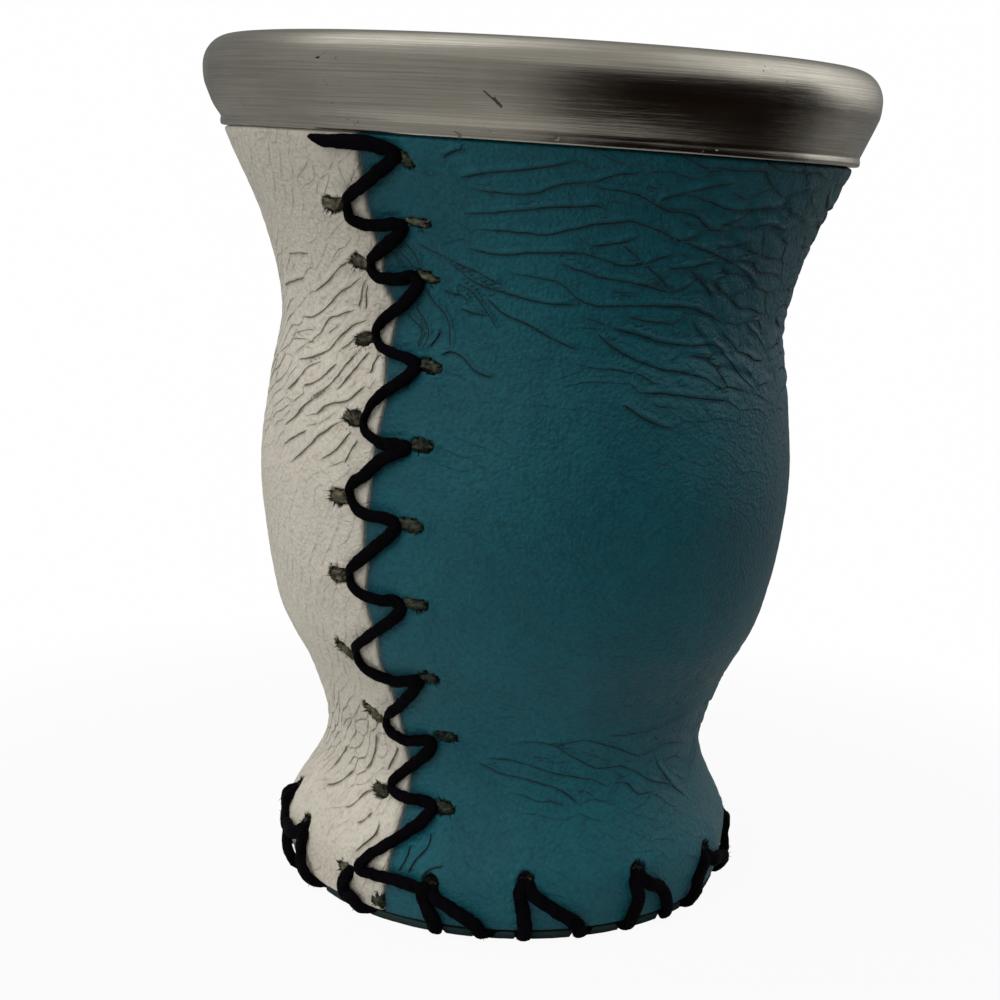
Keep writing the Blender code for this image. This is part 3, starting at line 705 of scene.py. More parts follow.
# dents and specks of the rim: angle, height of both ends, half width in millimetres, darkness
rimMarks = (
    (-8.62, 99.13, -6.55, 97.90, 0.09, 0.95), (-7.2, 98.45, -6.15, 97.7, 0.17, 0.9),
    (-35.5, 101.74, -35.1, 101.8, 0.15, 1.0), (-34.9, 101.95, -33.8, 102.4, 0.05, 0.7),
    (-13.3, 94.85, -12.5, 94.6, 0.14, 0.7), (-12.8, 94.4, -12.5, 94.4, 0.16, 0.6),
    (-8.7, 95.45, -7.7, 95.1, 0.22, 0.85), (-9.6, 95.0, -7.9, 94.9, 0.14, 0.6),
    (-34.4, 99.7, -33.7, 99.1, 0.06, 0.45), (-30.5, 95.0, -29.8, 95.15, 0.16, 0.7),
    (2.0, 94.75, 2.2, 94.75, 0.18, 0.7), (21.8, 94.2, 22.0, 94.2, 0.16, 0.7),
    (25.4, 94.3, 25.6, 94.3, 0.2, 0.8), (28.0, 94.6, 28.2, 94.6, 0.15, 0.7),
    (34.5, 94.3, 34.8, 94.3, 0.15, 0.7), (-58.2, 102.6, -57.9, 102.6, 0.12, 0.5),
    (74.0, 96.0, 76.0, 95.2, 0.10, 0.6), (118.0, 99.4, 119.5, 98.6, 0.12, 0.7),
    (171.0, 101.0, 172.5, 101.4, 0.12, 0.7), (230.0, 97.0, 231.6, 96.2, 0.12, 0.7),
    (262.0, 95.0, 262.4, 95.0, 0.18, 0.6),
)


def rimSurfaceRadius(height):
    shoulder = np.interp(height, (93.9, 94.5, 99.3, 101.2), (39.2, 39.5, 41.6, 41.8))
    crestFrom = 101.2
    crown = 38.4 + 3.42 * np.sqrt(np.clip(1 - ((height - crestFrom) / 3.8) ** 2, 0, 1))
    return np.where(height > crestFrom, crown, shoulder)


def rimFinish():
    finish = Finish("brushed_rim")
    along = finish.mark("profile")
    # brushing runs round the rim, so the pattern changes quickly along the profile alone
    flat = finish.stretched((60.0, 60.0, 0.0))
    across, side, _ = finish.parts(flat)
    streakPlace = finish.add("ShaderNodeCombineXYZ", {}, {0: across, 1: side, 2: along * 5.0})
    finePlace = finish.add("ShaderNodeCombineXYZ", {}, {0: across, 1: side, 2: along * 22.0})
    streaks = finish.noise(1.0, 4.0, 0.6, 0.0, streakPlace)
    hairlines = finish.noise(1.4, 3.0, 0.6, 0.0, finePlace)
    clouds = finish.noise(120.0, 4.0, 0.6).between(0.3, 0.72)
    pits = finish.cells(900.0).between(0.16, 0.05) * finish.noise(160.0, 2.0, 0.5).between(0.56, 0.66)
    colour = finish.blend(streaks.between(0.3, 0.7), (0.70, 0.675, 0.60), (0.50, 0.475, 0.415))
    colour = finish.blend(clouds * 0.30, colour, (0.40, 0.365, 0.30))
    colour = finish.blend(pits * 0.6, colour, (0.06, 0.05, 0.04))
    dark = None
    for startAngle, startHeight, endAngle, endHeight, halfWidth, depth in rimMarks:
        start = around(startAngle, rimSurfaceRadius(startHeight), startHeight) / 1000
        end = around(endAngle, rimSurfaceRadius(endHeight), endHeight) / 1000
        span = end - start
        fromStart = finish.add("ShaderNodeVectorMath", {"operation": "SUBTRACT"},
                               {0: finish.place, 1: tuple(start)})
        ahead = finish.add("ShaderNodeVectorMath", {"operation": "DOT_PRODUCT"},
                           {0: fromStart, 1: tuple(span / (span @ span))}, "Value")
        share = finish.add("ShaderNodeClamp", {}, {0: ahead})
        nearest = finish.add("ShaderNodeVectorMath", {"operation": "SCALE"},
                             {0: tuple(span), "Scale": share})
        apart = finish.add("ShaderNodeVectorMath", {"operation": "DISTANCE"},
                           {0: fromStart, 1: nearest}, "Value")
        ragged = apart + (finish.noise(2300.0, 2.0, 0.6) - 0.5) * (halfWidth * 0.0012)
        mark = ragged.between(halfWidth * 0.00125, halfWidth * 0.0005) * depth
        dark = mark if dark is None else dark.math("MAXIMUM", dark, mark)
    colour = finish.blend(dark, colour, (0.025, 0.018, 0.012))
    rough = finish.relief(streaks * 0.6 + hairlines * 0.4, 0.00006, 0.5)
    rough = finish.relief(1 - dark, 0.00015, 0.6, rough)
    roughness = 0.16 + streaks * 0.08 + clouds * 0.06 + dark * 0.3
    metal = 1 - dark * 0.85
    return finish.surface({"Base Color": colour, "Metallic": metal, "Roughness": roughness,
                           "Normal": rough})


def cupFinish():
    finish = Finish("spun_aluminium")
    along = finish.mark("profile")
    flat = finish.stretched((30.0, 30.0, 0.0))
    across, side, _ = finish.parts(flat)
    ringPlace = finish.add("ShaderNodeCombineXYZ", {}, {0: across, 1: side, 2: along * 2.4})
    rings = finish.noise(1.0, 4.0, 0.65, 0.0, ringPlace)
    clouds = finish.noise(70.0, 4.0, 0.6).between(0.3, 0.7)
    colour = finish.blend(rings.between(0.3, 0.7), (0.60, 0.585, 0.54), (0.48, 0.465, 0.42))
    colour = finish.blend(clouds * 0.35, colour, (0.36, 0.34, 0.29))
    rough = finish.relief(rings, 0.00008, 0.5)
    return finish.surface({"Base Color": colour, "Metallic": 1.0, "Roughness": 0.36 + clouds * 0.14,
                           "Normal": rough})


# Leather jacket
# lengths and depths in millimetres
folding = {
    "creases": {"teal": ((tealCreases, 0.36, 0.16), (tealPuckers, 0.22, 0.06)),
                "white": ((whiteCreases, 0.28, 0.18),)},     # paths, depth and how far they wander
    "unevenness": 0.16,
    "steepness": 0.17,       # half the width of the step at a fold
    "swell": (0.50, 1.1),    # over a fold: share of its depth and how far it reaches
    "dip": (0.85, 0.5),      # and below it
    "fanDepth": 0.12,
    "lacePress": (0.24, 0.95),         # under the lace: depth and half width
    "laceSwell": (0.12, 2.3, 1.2),     # beside it: height, distance from it and width
    "laceReach": 12,         # how far from the seam that is worked out
    "puckerDepth": 0.07,
    "slotDepth": 1.15,
    "slotLip": (0.15, 1.35, 0.22),     # round a slot: height, then place and width in slot sizes
    "footHoleDepth": 1.2,
    "lip": {"teal": 0.03, "white": 0.07},      # how far the leather rises beside the seam
}


def seamRoute(back=False):
    # degrees from the seam, height, share of the width, and lift: the lace dips at each slot
    route = np.array(lacing["route"] if back else lacing["route"] + lacing["end"])
    dip = np.zeros(len(route))
    for offset, level, halfLength, _, _, _, _ in lacing["slots"]:
        inner = abs(offset) - (halfLength + 0.3) * 57.3 / float(jacketRadius(level))
        across = alongLeather(route[:, 0] - np.sign(offset) * inner, level)
        dip = np.maximum(dip, np.exp(-(across**2 + (route[:, 1] - level) ** 2) / 0.9**2))
    return np.column_stack((route, lacing["lift"] - lacing["sink"] * dip))


def leatherRelief(kind, away, height, seed):
    # depth in millimetres of every fold, pucker and slot of one side of one seam, and marks
    # for its creases, bulges and slots
    side = 1 if kind == "teal" else -1
    across = alongLeather(away, height)
    u, v = away * 0.576, height      # millimetres at the mean radius
    relief = np.zeros_like(away)
    crease = np.zeros_like(away)
    bulge = np.zeros_like(away)
    # how far the nearest fold above each place is and the nearest below, and how strong each is
    reaches = [np.full(away.shape, 9.0), np.full(away.shape, 9.0)]
    strengths = [np.zeros_like(away), np.zeros_like(away)]

    def overhang(reach):
        # the leather above a fold swells over it, and below it is pressed in and rises again
        above = 0.5 + 0.5 * np.tanh(reach / folding["steepness"])
        (swell, swellReach), (dip, dipReach) = folding["swell"], folding["dip"]
        return (above * swell * np.exp(-np.clip(reach, 0, None) / swellReach)
                - (1 - above) * dip * np.exp(-np.clip(-reach, 0, None) / dipReach))

    def noteFold(k, where, reach, strength):
        closer = (reach < reaches[k][where]) & (strength > 0.1)
        reaches[k][where] = np.where(closer, reach, reaches[k][where])
        strengths[k][where] = np.where(closer, strength, strengths[k][where])

    def addFold(paths, depth, wander):
        nonlocal relief, crease, bulge
        shiftU = wander * layeredNoise(u / 2.3, v / 2.3, seed + 11, 2)
        shiftV = wander * layeredNoise(u / 2.1, v / 2.1, seed + 23, 2)
        for n, path in enumerate(paths):
            line = np.array([(alongLeather(angle, level), level) for angle, level in path])
            line = smoothPath(line, 0.7)
            low, high = line.min(0) - 4, line.max(0) + 4
            near = (across > low[0]) & (across < high[0]) & (height > low[1]) & (height < high[1])
            if not near.any():
                continue
            x, y = across[near] + shiftU[near], height[near] + shiftV[near]
            distance, share, facing = pathDistance(x, y, line)
            taper = smoothStep(0, 0.16, share) * smoothStep(1, 0.84, share)
            uneven = 0.4 + 0.9 * softNoise(share * 7, np.full(share.shape, n * 3.7), seed)
            strength = taper * uneven
            relief[near] += depth * strength * overhang(distance * facing)
            crease[near] = np.maximum(crease[near], strength * np.exp(-((distance / 0.22) ** 1.5)))
            bulge[near] = np.maximum(bulge[near], 0.5 * strength * bump(distance, 0.6, 0.5))
            for k in (0, 1):
                reach = np.where(facing > 0 if k else facing <= 0, distance, 9.0)
                noteFold(k, near, reach, strength)

    def addNetwork(long, short, slant, depth, width, number, crisp=False):
        # long narrow cells, turned by the slant, whose borders are pressed in
        nonlocal relief, crease, bulge
        if not np.any(depth > 0.004):
            return
        turn = np.radians(slant)
        bentU = u + 1.3 * layeredNoise(u / 6, v / 5, seed + number, 2)
        bentV = v + 0.9 * layeredNoise(u / 5, v / 4, seed + number + 5, 2)
        along = (bentU * np.cos(turn) + bentV * np.sin(turn)) / long
        over = (-bentU * np.sin(turn) + bentV * np.cos(turn)) / short
        (upper, lower), levels = cellBorders(along, over, seed + number + 9, long, short)
        uneven = 0.30 + 1.0 * softNoise(u / 3.1, v / 2.2, seed + number + 2)
        border = np.minimum(upper, lower)
        nearer = (lower < upper) * 1
        level = np.where(nearer, levels[1], levels[0])
        strength = np.clip(depth / 0.22, 0, 1) * uneven * (0.3 + 0.7 * level)
        pillow = np.clip(border / (0.4 * short), 0, 1) ** 0.6
        relief += depth * uneven * overhang(np.where(nearer, border, -border)) * (0.3 + 0.7 * level)
        relief += depth * 0.55 * (pillow - 0.5)
        crease = np.maximum(crease, strength * np.exp(-((border / width) ** 1.3)))
        bulge = np.maximum(bulge, 0.4 * pillow * np.clip(depth / 0.22, 0, 1))
        if crisp:
            # kept clear of the folds that are already noted
            everywhere = np.ones(away.shape, bool)
            free = (strength * smoothStep(0.9, 1.3, np.minimum(*reaches))).reshape(-1)
            noteFold(0, everywhere, upper.reshape(-1), free)
            noteFold(1, everywhere, lower.reshape(-1), free)

    # the sheet is never quite even
    relief += folding["unevenness"] * layeredNoise(u / 11, v / 9, seed + 1, 3)
    for paths, depth, wander in folding["creases"][kind]:
        addFold(paths, depth, wander)
    if kind == "teal":
        upper = smoothStep(22, 62, away) * smoothStep(60, 72, height) * smoothStep(103, 92, height)
        upper = upper * (1 - 0.6 * smoothStep(82, 98, away))
        farther = smoothStep(52, 76, away)
        addNetwork(6.4, 2.3, -13, upper * (0.17 + 0.08 * farther), 0.20, 101, True)
        addNetwork(4.6, 2.4, -42, upper * (0.06 + 0.03 * farther), 0.18, 111, True)
        steep = bump(away, 104, 26) * bump(height, 70, 12)
        addNetwork(5.0, 1.5, -58, 0.12 * steep, 0.24, 131)
        waist = smoothStep(44, 78, away) * bump(height, 27, 9)
        addNetwork(5.2, 0.95, 3, 0.11 * waist, 0.2, 151)
        hollow = smoothStep(20, 50, away) * bump(height, 19, 5)
        addNetwork(6.5, 1.9, -12, 0.16 * hollow, 0.26, 171, True)
        calm = 0.040 * smoothStep(4, 16, away)
        addNetwork(4.6, 1.9, -24, calm * np.ones_like(away), 0.2, 191, True)
    else:
        upper = bump(height, 68, 13) * smoothStep(2, 9, away)
        addNetwork(4.8, 1.7, -33, 0.14 * upper, 0.22, 201, True)
        lower = bump(height, 19, 8) * smoothStep(2, 9, away)
        addNetwork(4.2, 1.6, -36, 0.13 * lower, 0.22, 231, True)
        addNetwork(3.4, 1.8, -60, 0.045 * np.ones_like(away), 0.2, 251, True)

    # fans of fine creases that spread from each slot
    for n, (offset, level, halfLength, *_) in enumerate(lacing["slots"]):
        if offset * side < 0:
            continue
        tip = alongLeather(abs(offset), level) + 0.5 * halfLength
        dx, dy = across - tip, height - level
        reach = np.hypot(dx, dy)
        swing = np.arctan2(dy, dx)
        spread = 4.2 if kind == "teal" and level > 66 else 2.6
        fade = smoothStep(1.0, 2.2, reach) * np.exp(-np.clip(reach - 2, 0, None) / spread)
        middle = -0.6 if kind == "teal" else -0.75
        fade = fade * bump(swing, middle, 0.9)
        rays = np.cos(24 * swing + 3.5 * layeredNoise(u / 1.8, v / 1.8, seed + 40 + n, 2) + n)
        relief += folding["fanDepth"] * fade * (rays - 0.3)
        crease = np.maximum(crease, 0.6 * fade * np.clip(-rays, 0, 1) ** 2)

    # the lace presses the leather down, and the leather swells between the stitches
    route = seamRoute()
    line = np.stack((alongLeather(side * route[:, 0], route[:, 1]), route[:, 1]), -1)
    line = smoothPath(line, 0.6)
    near = across < folding["laceReach"]
    distance = pathDistance(across[near], height[near], line)[0]
    (press, pressWidth), (swell, swellAt, swellWidth) = folding["lacePress"], folding["laceSwell"]
    pressed = bump(distance, 0, pressWidth)
    relief[near] += -press * pressed + swell * bump(distance, swellAt, swellWidth)
    crease[near] = np.maximum(crease[near], 0.35 * pressed)
    if kind == "teal":
        # tight puckers under the lace, square to the seam's edge
        tight = smoothStep(5.5, 3.0, across) * smoothStep(1.9, 1.2, np.abs(across - 2.6))
        waves = np.cos(height * 7.4 + 2.2 * layeredNoise(u / 2.2, v / 3, seed + 71, 2) - 1.1 * across)
        relief += folding["puckerDepth"] * tight * waves
        crease = np.maximum(crease, 0.5 * tight * np.clip(-waves, 0, 1) ** 2)

    # slots punched for the lace
    hole = np.zeros_like(away)
    for n, (offset, level, halfLength, halfHeight, tilt, _, _) in enumerate(lacing["slots"]):
        if offset * side < 0:
            continue
        middle = alongLeather(abs(offset), level)
        tilt = np.radians(tilt)
        dx, dy = across - middle, height - level
        dx, dy = dx * np.cos(tilt) + dy * np.sin(tilt), -dx * np.sin(tilt) + dy * np.cos(tilt)
        oval = np.sqrt((dx / (halfLength - 0.05)) ** 2 + (dy / (halfHeight - 0.05)) ** 2)
        oval += 0.30 * layeredNoise(u / 0.5, v / 0.7, seed + 300 + n, 2)
        lip, lipAt, lipWidth = folding["slotLip"]
        relief += -folding["slotDepth"] * smoothStep(1.15, 0.85, oval) + lip * bump(oval, lipAt, lipWidth)
        hole = np.maximum(hole, smoothStep(1.08, 0.9, oval))
    # the nearest fold of all, as a distance that is positive above it, and its strength, which
    # fades away from it and where another fold is as near on the other side
    above, below = reaches
    line = np.where(below < above, below, -above)
    fold = np.where(below < above, strengths[1], strengths[0])
    fold = fold * smoothStep(0.95, 0.45, np.abs(line)) * smoothStep(0.1, 0.5, np.abs(above - below))
    return relief, crease, bulge, hole, np.clip(line, -2, 2), np.clip(fold, 0, 1)


def baseHoleRelief(angle, height):
    # small upright ovals punched round the foot
    relief, hole = np.zeros_like(angle), np.zeros_like(angle)
    for holeAngle, level, _, _ in baseLacing["stitches"]:
        turned = turnBetween(angle, holeAngle)
        dx = alongLeather(turned, height)
        dy = height - level - 0.6 * baseLacing["holeHeight"]
        oval = np.sqrt((dx / baseLacing["holeWidth"]) ** 2 + (dy / baseLacing["holeHeight"]) ** 2)
        relief += -folding["footHoleDepth"] * smoothStep(1.15, 0.75, oval) + 0.16 * bump(oval, 1.4, 0.25)
        pull = np.hypot(dx, dy)
        relief += 0.10 * bump(pull, 3.2, 1.6)
        hole = np.maximum(hole, smoothStep(1.1, 0.85, oval))
    return relief, hole


def seamAngle(height, back):
    heights, shifts = np.array(jacket["seamWander"], float).T
    wander = np.interp(height, heights, shifts)
    if back:
        return jacket["frontSeam"] + 180 - wander
    return jacket["frontSeam"] + wander


def edgeSpaced(length, count, calm):
    # places along a length: closer together at both ends, where the edge is rounded, and
    # further apart over the calm part of the leather, which has few folds
    ends = np.array((0.0, 0.05, 0.16, 0.32, 0.55, 0.85))
    inside = np.linspace(ends[-1], length - ends[-1], 400)
    gaps = 1 + 0.7 * smoothStep(calm[0], calm[1], inside) * smoothStep(calm[3], calm[2], inside)
    number = np.concatenate(([0], np.cumsum(np.diff(inside) / (gaps[1:] + gaps[:-1]))))
    middle = np.interp(np.linspace(0, number[-1], count - 2 * len(ends) + 2)[1:-1], number, inside)
    return np.concatenate((ends, middle, (length - ends)[::-1]))


def leatherPanel(kind, seed):
    # half of the jacket. Columns run from one seam to the other, rows from foot to rim, and each
    # point stands off the outline by its relief, less the rounding near an edge. Extra columns
    # and rows go down the cut edge, and a coarse grid closes the back of the sheet.
    length = np.pi * jacket["meanRadius"]
    spots = edgeSpaced(length, jacket["columns"], (12, 20, length - 20, length - 12))
    levels = jacket["bottom"] + edgeSpaced(jacket["top"] - jacket["bottom"], jacket["rows"],
                                           (28, 34, 54, 60))
    wall = 2
    spots = np.concatenate((np.zeros(wall), spots, np.full(wall, length)))
    levels = np.concatenate((np.full(wall, jacket["bottom"]), levels, np.full(wall, jacket["top"])))
    share, height = np.meshgrid(spots / length, levels)
    gap = np.degrees(jacket["seamGap"] / jacketRadius(height))
    if kind == "teal":
        start = seamAngle(height, False) + gap
        end = seamAngle(height, True) - gap
    else:
        start = seamAngle(height, True) + gap
        end = seamAngle(height, False) + 360 - gap
    angle = start + share * (end - start)
    height = height + edgeShift(angle) * smoothStep(70, jacket["top"], height)
    away = angle - jacket["frontSeam"] if kind == "teal" else jacket["frontSeam"] + 360 - angle
    front = leatherRelief(kind, away, height, seed)
    rear = leatherRelief(kind, 180 - away, height, seed + 500)
    turnOver = smoothStep(80, 108, away)
    relief = front[0] * (1 - turnOver) + rear[0] * turnOver
    crease, bulge, hole = (front[k] * (1 - turnOver) + rear[k] * turnOver for k in (1, 2, 3))
    line = np.where(turnOver < 0.5, front[4], rear[4])
    fold = np.where(turnOver < 0.5, front[5], rear[5]) * smoothStep(0, 0.25, np.abs(turnOver - 0.5))
    baseRelief, baseHole = baseHoleRelief(angle, height)
    relief, hole = relief + baseRelief, np.maximum(hole, baseHole)
    fromSeam = np.minimum(share, 1 - share) * np.pi * jacketRadius(height)
    fromEnd = np.minimum(height - jacket["bottom"], jacket["top"] + edgeShift(angle) - height)
    rounding = np.zeros_like(relief)
    for distance in (fromSeam, fromEnd):
        inside = 1 - np.clip(distance / jacket["edgeRound"], 0, 1)
        rounding += jacket["edgeRound"] * (1 - np.sqrt(1 - inside**2))
    relief = relief * smoothStep(0, 1.1, np.minimum(fromSeam, fromEnd) + 0.25)
    lip = folding["lip"][kind] * bump(fromSeam, 0.9, 0.7)
    depth = np.clip(relief + lip, -1.35, 0.6) - np.clip(rounding, 0, jacket["edgeRound"] * 1.4)
    down = np.zeros_like(depth)
    steps = jacket["thickness"] * np.array((1.0, 0.66))
    for k in range(wall):
        for place in ((slice(None), k), (slice(None), -1 - k), (k, slice(None)), (-1 - k, slice(None))):
            down[place] = np.maximum(down[place], steps[k])
    depth = np.where(down > 0, -down, depth)
    outer = onJacket(angle, height, depth).reshape(-1, 3)
    rows, columns = height.shape
    backColumns, backRows = 25, 23
    backShare, backHeight = np.meshgrid(np.linspace(0, 1, backColumns),
                                        np.linspace(jacket["bottom"], jacket["top"], backRows))
    backGap = np.degrees(jacket["seamGap"] / jacketRadius(backHeight))
    backStart = seamAngle(backHeight, kind == "white") + backGap
    backEnd = seamAngle(backHeight, kind == "teal") + (360 if kind == "white" else 0) - backGap
    backAngle = backStart + backShare * (backEnd - backStart)
    backHeight = backHeight + edgeShift(backAngle) * smoothStep(70, jacket["top"], backHeight)
    inner = onJacket(backAngle, backHeight, -jacket["thickness"]).reshape(-1, 3)
    fine, finePlaces = gridBorder(rows, columns)
    coarse, coarsePlaces = gridBorder(backRows, backColumns, first=len(outer))
    quads = np.vstack((gridQuads(rows, columns),
                       gridQuads(backRows, backColumns, first=len(outer))[:, ::-1]))
    edge = np.maximum(smoothStep(1.5, 0.5, fromSeam), (down > 0) * 1.0)
    blank = np.zeros(len(inner))
    marks = {name: np.concatenate((np.clip(values, -2, 2).reshape(-1), blank))
             for name, values in zip(leatherMarks, (crease, bulge, hole, edge, line, fold))}
    return makeMesh("jacket_" + kind, np.vstack((outer, inner)), quads,
                    zipBorders(fine, finePlaces, coarse, coarsePlaces), marks, tidy=True)


def dress(piece, finish, slotName, *nodes):
    piece.data.materials.clear()
    piece.data.materials.append(finish)
    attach(piece, "root")
    if nodes:
        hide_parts(*nodes)


whiteFinish = leatherFinish("white_leather", leatherLook["white"])
tealFinish = leatherFinish("teal_leather", leatherLook["teal"])
dress(leatherPanel("teal", 3), tealFinish, "teal_leather", "leather_teal")
dress(leatherPanel("white", 5), whiteFinish, "white_leather", "leather_white")
print("jacket: two leather panels")


# Laces
laceYarn = {
    "spacing": 0.22,         # between the rings of the tube
    "sides": 14,
    "twist": 2.1,            # millimetres for one turn of the strands
    # how much of the lace's size each of these adds or takes
    "strands": 0.035,
    "fluff": 0.13,
    "slow": 0.09,
    "fibreWidth": 0.035,
    "floor": 0.02,           # nothing of it lies lower
}


def laceTexture(count, spacing, sides, seed):
    # twisted strands and a little fluff as a share of the lace's size, and a mark for the strands
    along, turn = np.meshgrid(np.arange(count) * spacing, np.arange(sides) * 2 * np.pi / sides,
                              indexing="ij")
    strands = np.cos(3 * turn + along * 2 * np.pi / laceYarn["twist"])
    fluff = layeredNoise(along / 0.5, turn * 1.6, seed, 3)
    slow = layeredNoise(along / 3.0, 0 * turn, seed + 3, 2)
    size = 1 + laceYarn["strands"] * strands + laceYarn["fluff"] * fluff + laceYarn["slow"] * slow
    return size, strands * 0.5 + 0.5


def fibres(roots, directions, lengths, widths, seed):
    # thin three-sided spikes: a ring at the root, a ring near the middle bent to one side, and
    # a point; seven faces each
    scatter = np.random.default_rng(seed)
    directions = directions / np.linalg.norm(directions, axis=1, keepdims=True)
    side = np.cross(directions, scatter.normal(size=directions.shape))
    side /= np.linalg.norm(side, axis=1, keepdims=True)
    other = np.cross(directions, side)
    turn = np.radians((0, 120, 240))[None, :, None]
    ring = (np.cos(turn) * side[:, None] + np.sin(turn) * other[:, None]) * widths[:, None, None]
    reach = directions * lengths[:, None]
    bend = side * lengths[:, None] * 0.3
    middle = roots + 0.5 * reach + 0.3 * bend
    points = np.concatenate((roots[:, None] + ring, middle[:, None] + 0.7 * ring,
                             (roots + reach + bend)[:, None]), 1)
    first = np.arange(len(roots))[:, None, None] * 7
    quads = (first + np.array(((0, 1, 4, 3), (1, 2, 5, 4), (2, 0, 3, 5)))).reshape(-1, 4)
    triangles = (first + np.array(((3, 4, 6), (4, 5, 6), (5, 3, 6), (2, 1, 0)))).reshape(-1, 3)
    return points.reshape(-1, 3), quads, triangles


def laceTube(name, seed, path, normals, widths):
    sides = laceYarn["sides"]
    spacing = laceYarn["spacing"]
    texture, strands = laceTexture(len(path), spacing, sides, seed)
    halfWidth, halfHeight = lacing["halfWidth"] * widths, lacing["halfHeight"] * widths**0.4
    points, quads, caps = sweptTube(path, normals, halfWidth, halfHeight, sides, texture)
    # stray fibres stand off all round the lace
    scatter = np.random.default_rng(seed)
    count = int(len(path) * spacing * lacing["strayFibres"])
    at, side = scatter.integers(2, len(path) - 2, count), scatter.integers(0, sides, count)
    roots = points[at * sides + side]
    outward = roots - path[at]
    outward /= np.linalg.norm(outward, axis=1, keepdims=True)
    ahead = path[at + 1] - path[at - 1]
    ahead /= np.linalg.norm(ahead, axis=1, keepdims=True)
    directions = outward + ahead * scatter.normal(0, 0.8, (count, 1)) + scatter.normal(0, 0.3, (count, 3))
    lengths = 0.22 + 0.38 * scatter.random(count) ** 2
    extra = fibres(roots - 0.05 * outward, directions, lengths, np.full(count, laceYarn["fibreWidth"]),
                   seed + 1)
    quads = np.vstack((quads, extra[1] + len(points)))
    caps = np.vstack((caps, extra[2] + len(points)))
    points = np.vstack((points, extra[0]))
    points[:, 2] = np.maximum(points[:, 2], laceYarn["floor"])     # pressed flat by the table
    marks = {"strand": np.concatenate((strands.reshape(-1), (0.5, 0.5), np.full(len(extra[0]), 0.3)))}
    return makeMesh(name, points, quads, caps, marks, tidy=True)


def seamLacePath(back):
    route = seamRoute(back)
    mean = jacket["meanRadius"]
    even = smoothPath(np.column_stack((np.radians(route[:, 0]) * mean, route[:, 1:])),
                      laceYarn["spacing"])
    offset, (height, widths, lift) = np.degrees(even[:, 0] / mean), even[:, 1:].T
    angle = jacket["frontSeam"] + (180 - offset if back else offset)
    out, up = jacketNormal(height)
    return onJacket(angle, height, lift), around(angle, out, up), widths


def underEdge(start, end):
    # slants under the lower edge of the jacket, runs along beneath it and comes out upright
    spots = ((start, 1.0, 2.3), (start + 1.4, 0.4, 0.9), (start + 4.5, -0.9, 0.62),
             (end - 1.5, -1.0, 0.62), (end, 0.3, 0.70), (end, 1.0, 2.3))
    return [onJacket(angle, height, lift) for angle, lift, height in spots]


def baseLacePath():
    lift, dip, half = lacing["lift"], baseLacing["holeDip"], baseLacing["legGap"]
    points = [onJacket(*baseLacing["start"][0], dip)]
    points += [onJacket(angle, height, lift) for angle, height in baseLacing["start"][1:]]
    stitches, bows = baseLacing["stitches"], baseLacing["bows"]
    points += underEdge(baseLacing["startUnder"], stitches[0][2])
    for k, (angle, height, up, down) in enumerate(stitches):
        points += [onJacket(*spot) for spot in (
            ((angle - half + up) / 2 + bows[2 * k], (height + 2.0) / 2, lift),
            (angle - half, height - 0.5, lift),
            (angle, height + 0.35, dip),
            (angle + half, height - 0.5, lift),
            ((angle + half + down) / 2 + bows[2 * k + 1], (height + 2.2) / 2, lift))]
        if k + 1 < len(stitches):
            points += underEdge(down, stitches[k + 1][2])
        else:
            points += underEdge(down, down + 4)[:3]
    even = smoothPath(np.array([np.ravel(p) for p in points]), laceYarn["spacing"])
    turn = np.arctan2(even[:, 0], -even[:, 1])
    radius, height = np.hypot(even[:, 0], even[:, 1]), even[:, 2]
    # the flat of the lace faces away from the leather: from its surface above, and from the
    # cut edge of the jacket below
    out, up = jacketNormal(np.maximum(height, 2.4))
    edgeOut, edgeUp = radius - jacket["soleRadius"], height - 1.8
    length = np.maximum(np.hypot(edgeOut, edgeUp), 1e-6)
    mix = smoothStep(1.6, 3.4, height)
    out, up = out * mix + edgeOut / length * (1 - mix), up * mix + edgeUp / length * (1 - mix)
    return even, around(np.degrees(turn), out, up), np.full(len(even), baseLacing["width"])


tufts = {
    "rings": 19,
    "sides": 28,
    "depth": 0.62,
    "under": 0.26,           # how far its middle lies under the leather's surface
    "spikes": 30,
    # frayed leather at the foot of the front seam, and fibre in the first holes of the foot
    "others": ((-2.6, 2.6, 1.15, 0.95, 35, 0.45, 0.45), (-32.6, 8.0, 0.62, 0.75, 70, 0.6, 0.0),
               (12.3, 6.3, 0.62, 0.55, 0, 0.35, 0.3)),
    "holeTone": 0.0,
}


